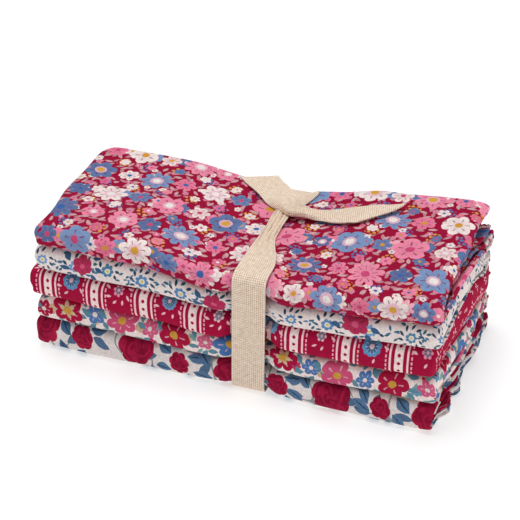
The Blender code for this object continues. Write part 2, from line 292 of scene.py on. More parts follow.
@dataclass
class Shell:
    """A thin closed shell of cloth round a grid of middle points.

    middle is the grid. away, for each point, is the side that the cloth's right side faces. flat is each
    point's place on the flat cloth in metres, and bake its place, 0 to 1, in the piece's own baked map.
    A closed shell goes on from its last row to its first.
    """

    middle: np.ndarray
    away: np.ndarray
    flat: np.ndarray
    bake: np.ndarray
    thickness: float
    closed: bool = False

    def normals(self) -> tuple[np.ndarray, bool]:
        """The unit normals, by the cross product of the grid's two steps, and whether they are turned."""
        grid = self.middle
        if self.closed:
            grid = np.concatenate([grid[-1:], grid, grid[:1]])
        along, across = np.gradient(grid, axis=0), np.gradient(grid, axis=1)
        if self.closed:
            along, across = along[1:-1], across[1:-1]
        normal = np.cross(across, along)
        normal /= np.maximum(np.linalg.norm(normal, axis=2, keepdims=True), 1e-12)
        turned = float((normal * self.away).sum()) < 0
        return (-normal if turned else normal), turned

    def parts(self) -> tuple[np.ndarray, ...]:
        """The shell's vertices and faces.

        The right side lies half the thickness out along the normal and the wrong side half in, and narrow
        faces close the rim between them.

        Returns:
            The points, the faces' four corners, each corner's flat place, each corner's place in the baked
            map, and for each point 1 on the right side and 0 on the wrong side.
        """
        rows, columns = self.middle.shape[:2]
        normal, turned = self.normals()
        half = normal * self.thickness / 2
        count = rows * columns
        points = np.concatenate([(self.middle + side).reshape(-1, 3) for side in (half, -half)])
        index = np.arange(count).reshape(rows, columns)
        if self.closed:
            index = np.concatenate([index, index[:1]])
        corners = (index[:-1, :-1], index[:-1, 1:], index[1:, 1:], index[1:, :-1])
        quads = np.stack(corners, -1).reshape(-1, 4)
        if turned:
            quads = quads[:, ::-1]
        borders = [index[:, 0][::-1], index[:, -1]]
        if not self.closed:
            borders += [index[0], index[-1][::-1]]
        place = self.bake.reshape(-1, 2)
        faces = [quads, quads[:, ::-1] + count]
        bake = [in_strip(place[quads], *RIGHT_STRIP), in_strip(place[quads[:, ::-1]], *WRONG_STRIP)]
        for number, line in enumerate(borders):
            rim = np.stack([line[:-1], line[:-1] + count, line[1:] + count, line[1:]], -1)
            faces.append(rim[:, ::-1] if turned else rim)
            at = (np.arange(len(rim))[:, None] + [0, 0, 1, 1]) / len(rim)
            low, height = RIM_STRIP
            bake.append(in_strip(paired(at, [0.0, 1.0, 1.0, 0.0]), low + RIM_STEP * number, height))
        corners = np.concatenate(faces)
        flat = np.concatenate([self.flat.reshape(-1, 2)] * 2)[corners]
        return points, corners, flat, np.concatenate(bake), np.repeat([1.0, 0.0], count)


def add_object(name: str, data: bpy.types.ID) -> bpy.types.Object:
    """A new object in the scene from its data."""
    made = bpy.data.objects.new(name, data)
    bpy.context.scene.collection.objects.link(made)
    return made


def mesh_of(name: str, shells: Sequence[Shell]) -> bpy.types.Object:
    """One object from one or more shells, with its flat places, baked map and right side stored on it.

    Where there is more than one shell, each takes its own column of the baked map.
    """
    parts, start = [], 0
    for number, shell in enumerate(shells):
        points, corners, flat, bake, right = shell.parts()
        bake = bake * [1 / len(shells), 1] + [number / len(shells), 0]
        parts.append((points + SHIFT, corners + start, flat, bake, right))
        start += len(points)
    points, faces, flat, bake, right = (np.concatenate(part) for part in zip(*parts))
    mesh = bpy.data.meshes.new(name)
    mesh.from_pydata(points.tolist(), [], faces.tolist())
    for layer, values in (("cloth", flat), ("OFBake", bake)):
        uv = mesh.uv_layers.new(name=layer)
        uv.uv.foreach_set("vector", values.astype(np.float32).ravel())
    side = mesh.attributes.new("right_side", "FLOAT", "POINT")
    side.data.foreach_set("value", right.astype(np.float32))
    mesh.shade_smooth()
    mesh.set_sharp_from_angle(angle=SHARP_FOLD)
    return add_object(name, mesh)


# ---------------------------------------------------------------- one folded quarter

# How much of the baked map a stretch gets for its length: layers that never show, the lowest one, a top
# that lies under another quarter, the small turns at the back, and what shows.
HIDDEN, LOWEST, COVERED, BACK_TURN, SHOWN = 0.14, 0.3, 0.35, 0.8, 1.0


@dataclass(frozen=True)
class Stretch:
    """One stretch of the back-and-forth line: its points, its rows and its share of the baked map."""

    points: np.ndarray
    rows: int
    share: float
    outer: bool = False


@dataclass(frozen=True)
class Outline:
    """Where a quarter's ends and front fold lie, in mm, each end at the front and at the back.

    lower_arm is how much further right the lower arm's two ends lie. front is how far the front fold
    stands out, and further how much more it does towards the right end. scallops is how far the lower
    layers bulge out at the right end near the front, bow how far the upper ones draw in at half depth,
    and corners how far the two rear corners are rounded off.
    """

    left: tuple[float, float]
    right: tuple[float, float]
    lower_arm: tuple[float, float]
    front: float
    further: float = 0.0
    scallops: float = 0.0
    bow: tuple[float, float] = (0.0, 0.0)
    corners: tuple[float, float] = (5.0, 2.5)


@dataclass(frozen=True)
class Cap:
    """How the outer layer's end fold hangs over the ends of the inner layers.

    cover is how much of the end it hides, seam the level where its upper and lower parts meet, and until
    the share of the depth at which it gives way to the inner layers, over a share of fade. The inner
    layers are shorter by inner where it hangs.
    """

    cover: float = 0.0
    seam: float = 0.5
    until: float = 0.8
    fade: float = 0.13
    inner: float = 2.8 * MM


@dataclass(frozen=True)
class Pinch:
    """How the ribbon pinches and creases a front fold beside itself.

    left and right are the shares of its height that the fold loses on either side of the ribbon. The
    share falls off by exp(-(d / wide) ** falloff) with the distance d past half, and to 0 at deep behind
    the fold. The fold thins towards level. Its creases go in and out by crease, turn this many times from
    the lowest to the highest layer, and fade over crease_wide.
    """

    left: float = 0.12
    right: float = 0.36
    half: float = 7.5 * MM
    wide: float = 3.8 * MM
    falloff: float = 1.2
    deep: float = 11 * MM
    level: float = 0.6
    crease: float = 0.4 * MM
    crease_turns: float = 1.35
    crease_wide: float = 9 * MM

    def thinned(self, tie: Tie, level: np.ndarray, x: np.ndarray, behind: np.ndarray) -> np.ndarray:
        """A level of the section where the fold is thinner, at x and a distance behind the fold."""
        lost = np.where(x > tie.x, self.right, self.left)
        lost = lost * np.exp(-((tie.past(x, self.half) / self.wide) ** self.falloff))
        lost = lost * (1 - smooth(behind / self.deep))
        return self.level + (level - self.level) * (1 - lost)

    def creased(self, tie: Tie, level: np.ndarray, x: np.ndarray, number: int) -> np.ndarray:
        """How far the fold is creased out at a level of the section and at x."""
        crease = np.sin(level * TURN * self.crease_turns + number * 1.3)
        return crease * np.exp(-tie.past(x, tie.flat) / self.crease_wide) * self.crease


@dataclass(frozen=True)
class Columns:
    """The columns across a sheet, each from one end's cut edge to the other.

    end is which end a column is counted from: 1 the closed one, -1 the other, 0 neither. away is its
    distance from there, or its place along the bundle, and offset its place across the layer. The hung
    arrays say the same for the outer layer where its end fold hangs, with its depth down the end. weight
    is how much of the baked map it gets for its width.
    """

    end: np.ndarray
    away: np.ndarray
    offset: np.ndarray
    hung_away: np.ndarray
    hung_offset: np.ndarray
    depth: np.ndarray
    weight: np.ndarray


@dataclass
class FatQuarter:
    """One fat quarter: a single sheet in three plies, folded back and forth into six layers.

    number is its place in the stack, from 1 at the bottom, and uncovered says that its top shows. Its
    right and left ends wander by loose and left_loose, in mm, in waves of end_wave's lengths, and its
    front fold by front_wave_height in waves of front_wave's lengths. spread is how far the outer plies
    lie from the middle one, and swell how much further out and in they lie at the closed end. left_layers
    and right_layers are how much further right each layer ends at the back, in mm. corner_reach is how
    far to the front a rear corner is rounded, and scallop the middle and half the reach of the bulges, as
    shares of the depth. The cut edges go in and out by zigzag and by fray. Within drawn_reach of an end
    the layers draw together by a share of drawn.
    """

    name: str
    below: str
    slot: str
    outline: Outline
    finish: "Print"
    number: int
    cap: Cap = Cap()
    loose: float = 0.5
    closed_end: Side = Side.RIGHT
    uncovered: bool = False
    inner_rows: int = 13
    stack: Stack = Stack()
    pinch: Pinch = Pinch()
    thickness: float = 0.26 * MM
    spread: float = 0.45 * MM
    swell: tuple[float, float] = (0.16 * MM, 0.42 * MM)
    left_layers: tuple[float, ...] = (0.0, -1.1, -0.4, 0.5, -0.9, 0.0)
    right_layers: tuple[float, ...] = (0.0, -1.2, 0.5, 1.0, -0.9, 0.0)
    left_loose: float = 0.5
    end_wave: tuple[float, float] = (16 * MM, 60 * MM)
    front_wave: tuple[float, float] = (35 * MM, 70 * MM)
    front_wave_height: float = 0.45 * MM
    corner_reach: float = 9 * MM
    scallop: tuple[float, float] = (0.27, 0.15)
    zigzag: float = 0.9 * MM
    fray: float = 0.8 * MM
    drawn: float = 0.17
    drawn_reach: float = 7 * MM

    def stretches(self) -> list[Stretch]:
        """The back-and-forth line in its stretches, from the inner cut edge to the other one.

        Each point is the distance from the front fold, the height above the lowest layer and the layer.
        Runs are straight, small turns are half circles, and the front fold is a squared half oval.
        """
        top, half = LAYERS - 1, LAYERS // 2
        pitch = (PLAIN_HEIGHT - LAYER_THICKNESS) / top
        front = NOSE_DEPTH + 0.2 * MM
        back = DEPTH - LAYER_THICKNESS / 2 - pitch / 2
        cut_edge = DEPTH - 2.4 * MM

        def run(layer: int, start: float, end: float, share: float = HIDDEN, rows: int = 0) -> Stretch:
            """A layer's straight run."""
            line = np.array([(start, layer * pitch, layer), (end, layer * pitch, layer)])
            return Stretch(line, rows or self.inner_rows, share, layer in (0, top))

        def turn(low: int, at: float, opens: Side, share: float) -> Stretch:
            """The small turn between two layers that lie on each other."""
            out, up = squared_oval(np.linspace(-90, 90, 41), 2).T
            layer = low + (up + 1) / 2
            points = np.column_stack([at - opens.value * out * pitch / 2, layer * pitch, layer])
            return Stretch(points, 8, share)

        out, up = squared_oval(np.linspace(90, 270, 121), NOSE_SQUARENESS).T
        height = (1 + up) * top / 2 * pitch
        nose = (NOSE_DEPTH + out * (NOSE_DEPTH - LAYER_THICKNESS / 2), height, height / pitch)
        share, rows = (SHOWN, 38) if self.uncovered else (COVERED, 18)
        return [
            run(half, cut_edge, front),
            turn(half, front, Side.RIGHT, HIDDEN),
            run(half + 1, front, back),
            turn(half + 1, back, Side.LEFT, BACK_TURN),
            run(top, back, NOSE_DEPTH, share, rows),
            Stretch(np.column_stack(nose), 28, SHOWN, True),
            run(0, NOSE_DEPTH, back, LOWEST, self.inner_rows + 5),
            turn(0, back, Side.LEFT, BACK_TURN),
            run(1, back, front),
            turn(1, front, Side.RIGHT, HIDDEN),
            run(half - 1, front, cut_edge),
        ]

    def line(self) -> tuple[np.ndarray, ...]:
        """The whole back-and-forth line and the rows taken on it.

        Returns:
            A fine table of length, distance from the front, height share and layer; the rows' lengths
            along it; how much of the baked map has been used up to each row, 0 to 1; and whether each row
            lies on the outer layer.
        """
        table, rows, used, outer = [], [0.0], [0.0], [False]
        length = 0.0
        for stretch in self.stretches():
            at = length + running(np.linalg.norm(np.diff(stretch.points[:, :2], axis=0), axis=1))
            table.append(np.column_stack([at, stretch.points]))
            ends = np.linspace(length, at[-1], stretch.rows + 1)[1:]
            rows.extend(ends)
            used.extend(used[-1] + (ends - length) * stretch.share)
            outer.extend([stretch.outer] * stretch.rows)
            length = float(at[-1])
        dense = np.concatenate(table)
        dense[:, 2] /= PLAIN_HEIGHT - LAYER_THICKNESS
        return dense, np.array(rows), np.array(used) / used[-1], np.array(outer)

    def ends(self, share: np.ndarray, layer: np.ndarray) -> tuple[np.ndarray, np.ndarray]:
        """The left and right end of the cloth, in X, at each row.

        Each goes from its place at the front to its place at the back by a soft step, with a little more
        for each layer, and the lower arm reaches further. The rear corners are rounded by a quarter of an
        oval, and each end wanders by slow waves.
        """
        outline = self.outline
        in_lower = 1 - step(layer, 1.5, 2)
        turn = np.clip(1 - (1 - share) * DEPTH / self.corner_reach, 0, 1)
        rounded = 1 - np.sqrt(1 - turn**2)
        bow = np.sin(math.pi * share) * (1 - in_lower)
        wander = Waves(self.number * 11 + 5, *self.end_wave, 5)

        def end(layers: Sequence[float], at: Sequence[float], loose: float, start: float) -> np.ndarray:
            """One end by its places at the front and the back, wandering by so much from a start."""
            place = at[0] + (at[1] - at[0]) * smooth(share * 1.15)
            place = place + np.interp(layer, np.arange(LAYERS), layers) * share
            return place + loose * wander.at(share * DEPTH + start, layer * 4 * MM)

        middle, half = self.scallop
        near = np.abs(share - middle) < half
        scallops = np.abs(np.sin(math.pi * (share - middle + half) / half)) * near * outline.scallops
        left = end(self.left_layers, outline.left, self.left_loose, 0.0)
        left = left + outline.lower_arm[0] * in_lower
        left = left + outline.bow[0] * bow + outline.corners[0] * rounded
        right = end(self.right_layers, outline.right, self.loose, 0.3)
        right = right + (outline.lower_arm[1] * share + scallops) * in_lower
        right = right - outline.bow[1] * bow - outline.corners[1] * rounded
        return left * MM, right * MM

    def place(self, share: np.ndarray, level: np.ndarray, x: np.ndarray) -> np.ndarray:
        """Points of the middle of a layer, for its place in the section and along the bundle.

        The front fold stands out by a little and waves, but for where the ribbon holds it, and the
        height lies between the quarter below and this quarter's own top. Beside the ribbon the front fold
        is pinched thinner, by a share that falls off with the distance from the ribbon's edge.
        """
        tie = self.stack.tie
        level = self.pinch.thinned(tie, level, x, share * DEPTH)
        grip = tie.grip(x, tie.fade)
        wave = Waves(self.number * 5 + 1, *self.front_wave, 4).at(x, level * 12 * MM)
        out = (self.outline.front + self.outline.further * smooth(x / (60 * MM))) * MM
        out = out - wave * self.front_wave_height - self.pinch.creased(tie, level, x, self.number)
        front = -DEPTH / 2 - out * (1 - grip) + tie.pulls[self.number - 1] * MM * grip
        y = front + share * (DEPTH / 2 - tie.pull * grip - front)
        lift = TABLE_GAP if self.below == "table" else GAP
        low = self.stack.top(self.below, x, y) + lift + LAYER_THICKNESS / 2
        high = self.stack.top(self.name, x, y) - LAYER_THICKNESS / 2
        return np.stack([x, y, low + level * (high - low)], -1)

    def columns(self) -> Columns:
        """The columns across the sheet, along all three plies from one cut edge to the other.

        The middle ply lies outermost. Past the closed end it turns over the full three plies into the
        innermost ply, and past the other end it turns into the ply between them. Where the outer layer's
        end fold hangs, the cloth turns down the end by an oval, runs on to the seam and comes back.
        """
        spread, (swell_out, swell_in) = self.spread, self.swell
        low, high = -spread - swell_in, spread + swell_out
        near = np.array([1.0, 1.8, 2.8, 4.2, 6.2, 9.0]) * MM
        fine, coarse = (np.linspace(-72, 74, count) * MM * -self.closed_end.value for count in (66, 29))
        fade = 1 / (1 + ((near - near[0]) / (2.4 * MM)) ** 2)
        pushed = np.exp(-(near - near[0]) / (2.8 * MM))
        parts: list[list[np.ndarray]] = []

        def add(end: int, away: np.ndarray, offset: object, weight: float, hung: tuple = ()) -> None:
            """Adds some columns; hung is their distance, offset and depth where the end fold hangs."""
            rows = (end, away, offset, *(hung or (away, offset, 0.0)), weight)
            parts.append([np.zeros(len(away)) + row for row in rows])

        def arc(count: int) -> tuple[np.ndarray, np.ndarray]:
            """A half circle's inner points, as their distance in from its tip and their height."""
            angle = np.radians(np.linspace(-90, 90, count))[1:-1]
            return 1 - np.cos(angle), np.sin(angle)

        def hanging() -> tuple[np.ndarray, ...]:
            """The end fold from the top down: its back, its tip, its face and its turn on to the top."""
            t = np.linspace(0.08, 1, 7)
            away = 2.0 * MM - 1.1 * MM * smooth(t * 2.5)
            back = (away, -spread * (1 - smooth(t * 4)), 0.02 + 0.9 * t)
            tip = (np.array([0.62, 0.35, 0.08]) * MM, np.zeros(3), np.array([0.955, 0.975, 0.955]))
            t = np.linspace(0, 1, 11)
            face = (-0.5 * MM * np.sin(math.pi * t), 0 * t, 0.93 - 0.65 * t)
            turn = np.radians(np.linspace(20, 75, 4))
            over = (1.7 * MM * (1 - np.cos(turn)), spread * np.sin(turn), 0.28 * (1 - np.sin(turn)))
            return tuple(np.concatenate(part) for part in zip(back, tip, face, over))

        add(-1, np.array([0.4, 2.0, 4.2, 7.0]) * MM, -spread, 0.2)
        add(0, coarse[::-1], -spread, 0.1)
        hung = ((near + 1.2 * MM * pushed)[::-1], -spread, 0.0)
        add(1, near[::-1], (-spread - swell_in * fade)[::-1], 0.6, hung)
        inward, up = arc(27)
        add(1, near[0] * inward, (low + high) / 2 + up * (high - low) / 2, 2.2, hanging())
        add(1, near, spread + swell_out * fade, 1.2, (near + 0.8 * MM * pushed, spread, 0.0))
        add(0, fine, spread, 1.0)
        add(-1, near[::-1], (spread + swell_out * fade)[::-1], 1.2)
        low = -0.12 * MM
        inward, up = arc(13)
        add(-1, near[0] * 0.8 * inward, (low + high) / 2 - up * (high - low) / 2, 2.2)
        add(-1, near, low * fade, 0.6)
        add(0, coarse[::-1], 0.0, 0.1)
        add(1, np.array([9.0, 6.0, 4.0]) * MM, 0.0, 0.1)
        return Columns(*(np.concatenate(part) for part in zip(*parts)))

    def build(self) -> bpy.types.Object:
        """Builds the quarter's mesh.

        Every point is its row's place in the section, carried to its column's place along the bundle and
        moved across the layer along the section's own normal. Near an end the layers draw together, and
        where the end fold hangs, a point also moves from the outer line towards the seam.

        Returns:
            The new object.
        """
        dense, rows, used, outer = self.line()
        columns, cap, sign = self.columns(), self.cap, self.closed_end.value
        end = columns.end

        def section(at: np.ndarray, column: int) -> np.ndarray:
            """One column of the fine table at lengths along the line."""
            return np.interp(at, dense[:, 0], dense[:, column])

        share = section(rows, 1) / DEPTH
        covered = (1 - step(share, cap.until, cap.fade)) * (cap.cover > 0)
        ends = dict(zip(Side, self.ends(share, section(rows, 3))))
        ends[self.closed_end] = ends[self.closed_end] - sign * covered * cap.inner * ~outer
        left, right = ends[Side.LEFT][:, None], ends[Side.RIGHT][:, None]
        closed, other = (right, left) if self.closed_end is Side.RIGHT else (left, right)
        hung = (covered * outer)[:, None]
        away = columns.away + (columns.hung_away - columns.away) * hung
        offset = columns.offset + (columns.hung_offset - columns.offset) * hung
        x = np.select([end == 1, end == -1], [closed - sign * away, other + sign * away], away)
        at = np.repeat(rows[:, None], x.shape[1], 1)
        at[[0, -1]] += np.outer([1, -1], np.arange(x.shape[1]) % 2) * self.zigzag
        x[:, 0] += sign * (np.arange(len(rows)) % 2) * self.fray
        inward = np.minimum(x - left, right - x)
        drawn = 1 - self.drawn * np.clip(1 - inward / self.drawn_reach, 0, 1) ** 2

        def point(at: np.ndarray, down: np.ndarray) -> np.ndarray:
            """The middle of the layer at lengths along the line, moved down the end by a share."""
            distance, level = section(at, 1), section(at, 2)
            distance = distance + (np.maximum(distance, NOSE_DEPTH) - distance) * down
            level = level + (cap.seam - level) * down
            return self.place(distance / DEPTH, 0.5 + (level - 0.5) * drawn, x)

        probe = 0.04 * MM
        along = (point(at + probe, 0 * at) - point(at - probe, 0 * at))[:, :, 1:]
        along /= np.linalg.norm(along, axis=2, keepdims=True)
        out = np.stack([np.zeros(x.shape), along[:, :, 1], -along[:, :, 0]], -1)
        middle = point(at, columns.depth * cap.cover * hung) + out * offset[:, :, None]
        flat_u = running(np.linalg.norm(np.diff(middle, axis=1), axis=2))
        outermost = (end == 0) & (columns.offset > 0.3 * MM)
        nearest = np.clip(np.arange(len(end)), *np.flatnonzero(outermost)[[0, -1]])
        flat_u = (x + sign * flat_u)[:, nearest] - sign * flat_u
        weights = (columns.weight[:-1] + columns.weight[1:]) / 2
        used_across = running(np.abs(np.diff(flat_u.mean(axis=0))) * weights)
        bake = paired(used_across / used_across[-1], used[:, None])
        facing = out * outermost[None, :, None]
        shell = Shell(middle, facing, np.stack([flat_u, at], -1), bake, self.thickness)
        return mesh_of(self.name.replace("quarter", "cloth"), [shell])

    def dress(self) -> bpy.types.Object:
        piece = self.build()
        piece.data.materials.append(self.finish.material())
        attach(piece, "root")
        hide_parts(self.name)
        return piece


# ---------------------------------------------------------------- shader maths


class Wire:
    """One output in a node tree. Arithmetic on it adds Math nodes; a comparison gives 1 or 0."""

    def __init__(self, book: "NodeBook", socket: bpy.types.NodeSocket) -> None:
        """Keeps the tree's book and the output."""
        self.book = book
        self.socket = socket

    def math(self, operation: str, *others: "Wire | float", first: bool = True) -> "Wire":
        """A Math node on this value and others; this value goes second where first is False."""
        values = (self, *others) if first else (*others, self)
        return self.book.node("ShaderNodeMath", {"operation": operation}, dict(enumerate(values)))

    __add__ = partialmethod(math, "ADD")
    __sub__ = partialmethod(math, "SUBTRACT")
    __rsub__ = partialmethod(math, "SUBTRACT", first=False)
    __mul__ = __rmul__ = partialmethod(math, "MULTIPLY")
    __truediv__ = partialmethod(math, "DIVIDE")
    __pow__ = partialmethod(math, "POWER")
    __abs__ = partialmethod(math, "ABSOLUTE")
    __lt__ = partialmethod(math, "LESS_THAN")
    __gt__ = partialmethod(math, "GREATER_THAN")
    floor = partialmethod(math, "FLOOR")

    def cycle(self, length: float) -> "Wire":
        """What is left of this value over whole lengths, never under 0."""
        return self.math("FLOORED_MODULO", length)

    def off(self, length: float) -> "Wire":
        """How far this value is from the middle of its length, where it repeats in whole lengths."""
        return abs(self.cycle(length) - length / 2)

    def soft(self, edge: float = PRINTED_EDGE) -> "Wire":
        """0 where this value is under 0 and 1 where it is over, soft over a printed edge's width."""
        settings = {"operation": "MULTIPLY_ADD", "use_clamp": True}
        return self.book.node("ShaderNodeMath", settings, {0: self, 1: 1 / edge, 2: 0.5})


class NodeBook:
    """Makes one material and adds nodes to its tree."""

    def __init__(self, name: str) -> None:
        """Starts the material."""
        self.material = bpy.data.materials.new(name)
        self.material.use_nodes = True
        self.tree = self.material.node_tree

    def node(
        self,
        kind: str,
        settings: Mapping[str, object] | None = None,
        inputs: Mapping[int | str, object] | None = None,
        output: int | str = 0,
    ) -> Wire:
        """Adds a node.

        Args:
            kind: The node's type.
            settings: Its own settings, set first. "stops" are a ramp's places and colours.
            inputs: A value or a wire for each named or numbered input.
            output: The output to take.

        Returns:
            The output.
        """
        made = self.tree.nodes.new(kind)
        for name, value in (settings or {}).items():
            if name == "stops":
                self.fill_ramp(made.color_ramp, value)
            else:
                setattr(made, name, value)
        for name, value in (inputs or {}).items():
            self.plug(made.inputs[name], value)
        return Wire(self, made.outputs[output])

    def plug(self, socket: bpy.types.NodeSocket, value: object) -> None:
        """Links a wire to an input, or sets the input's value; six hex digits are a colour."""
        if isinstance(value, Wire):
            self.tree.links.new(value.socket, socket)
        else:
            socket.default_value = linear(value) if isinstance(value, str) else value

    @staticmethod
    def fill_ramp(ramp: bpy.types.ColorRamp, stops: Sequence[tuple[float, str]]) -> None:
        """Sets a ramp's stops, which hold their colour up to the next one."""
        ramp.interpolation = "CONSTANT"
        while len(ramp.elements) < len(stops):
            ramp.elements.new(1.0)
        for element, (at, colour) in zip(ramp.elements, stops):
            element.position = at
            element.color = linear(colour)

    def finish(self, inputs: Mapping[str, object]) -> bpy.types.Material:
        """Plugs values and wires into the shader's named inputs and gives the finished material."""
        shader = self.tree.nodes["Principled BSDF"]
        for name, value in inputs.items():
            self.plug(shader.inputs[name], value)
        return self.material

    def flat(self) -> Wire:
        """The place on the flat cloth, in metres."""
        return self.node("ShaderNodeUVMap", {"uv_map": "cloth"})

    def split(self, value: Wire, kind: str) -> list[Wire]:
        """The three parts of a vector or colour; kind is "XYZ" or "Color"."""
        parts = self.node("ShaderNodeSeparate" + kind, {}, {0: value})
        return [Wire(self, output) for output in parts.socket.node.outputs]

    def mix(self, share: Wire | float, first: object, second: object, blend: str = "MIX") -> Wire:
        """A colour between two, by share."""
        inputs = {"Factor": share, 6: first, 7: second}
        return self.node("ShaderNodeMix", {"data_type": "RGBA", "blend_type": blend}, inputs, output=2)

    def vector(self, operation: str, *values: object, output: int | str = 0, **named: float) -> Wire:
        """A Vector Math node on some vectors, with its other inputs by name."""
        inputs = {**dict(enumerate(values)), **named}
        return self.node("ShaderNodeVectorMath", {"operation": operation}, inputs, output)

    def noise(self, where: Wire, scale: float, detail: float = 3.0, output: int | str = 0) -> Wire:
        """Soft noise about as fine as 1 / scale metres."""
        inputs = {"Vector": where, "Scale": scale, "Detail": detail}
        return self.node("ShaderNodeTexNoise", {}, inputs, output)

    def chance(self, *cell: Wire | float) -> Wire:
        """A random number from 0 to 1 for each cell, which has three numbers."""
        where = self.node("ShaderNodeCombineXYZ", {}, dict(enumerate(cell)))
        return self.node("ShaderNodeTexWhiteNoise", {"noise_dimensions": "3D"}, {"Vector": where})

    def pick(self, chance: Wire, shades: str) -> Wire:
        """One of some colours with spaces between them, by a chance from 0 to 1."""
        colours = shades.split()
        stops = [(i / len(colours), colour) for i, colour in enumerate(colours)]
        return self.node("ShaderNodeValToRGB", {"stops": stops}, {"Fac": chance})

    def bump(self, height: Wire, strength: float, depth: float) -> Wire:
        """A raised surface: its height, how strongly it shows and how deep it is in metres."""
        inputs = {"Strength": strength, "Distance": depth, "Height": height}
        return self.node("ShaderNodeBump", {}, inputs)


# ---------------------------------------------------------------- prints


@dataclass(frozen=True)
class Bed:
    """An even bed of motifs, in mm: one in each cell of a grid, with every other row half a cell on.

    pitch is a cell's width and depth, shift how far the grid is moved as shares of them, and jitter how
    far a motif is moved at random, by numbers that the seed gives.
    """

    pitch: tuple[float, float]
    shift: tuple[float, float]
    jitter: float
    seed: float


@dataclass(frozen=True)
class Place:
    """Where a point lies within its motif, and the motif's own random numbers."""

    reach: Wire
    angle: Wire
    chance: Wire
    other: Wire
    order: Wire


@dataclass(frozen=True)
class Blossom:
    """A flower seen from above, sizes in mm.

    It has from few to many petals by chance. notch is the share of the radius lost between petals, with
    deeper added for each petal more than few, and a small roundness makes full petals. centre is its
    centre's share of the radius, and uneven the most that the radius is smaller by chance. A stroke on
    each petal runs between two shares of the radius, where the petals' wave is over stroke_from.
    """

    radius: float
    few: int
    many: int
    notch: float = 0.35
    deeper: float = 0.0
    roundness: float = 0.55
    centre: float = 0.24
    uneven: float = 0.2
    stroke: tuple[float, float] = (0.36, 0.66)
    stroke_from: float = 0.98


@dataclass(frozen=True)
class Ring:
    """A ring of pointed leaves round a motif, sizes in mm.

    count leaves fit in it, and share of them are drawn. middle is how far a leaf's middle is from the
    motif's middle, length and width are half a leaf's, and lean is how far it leans, in radians.
    """

    count: int
    middle: float
    length: float
    width: float
    share: float
    lean: float


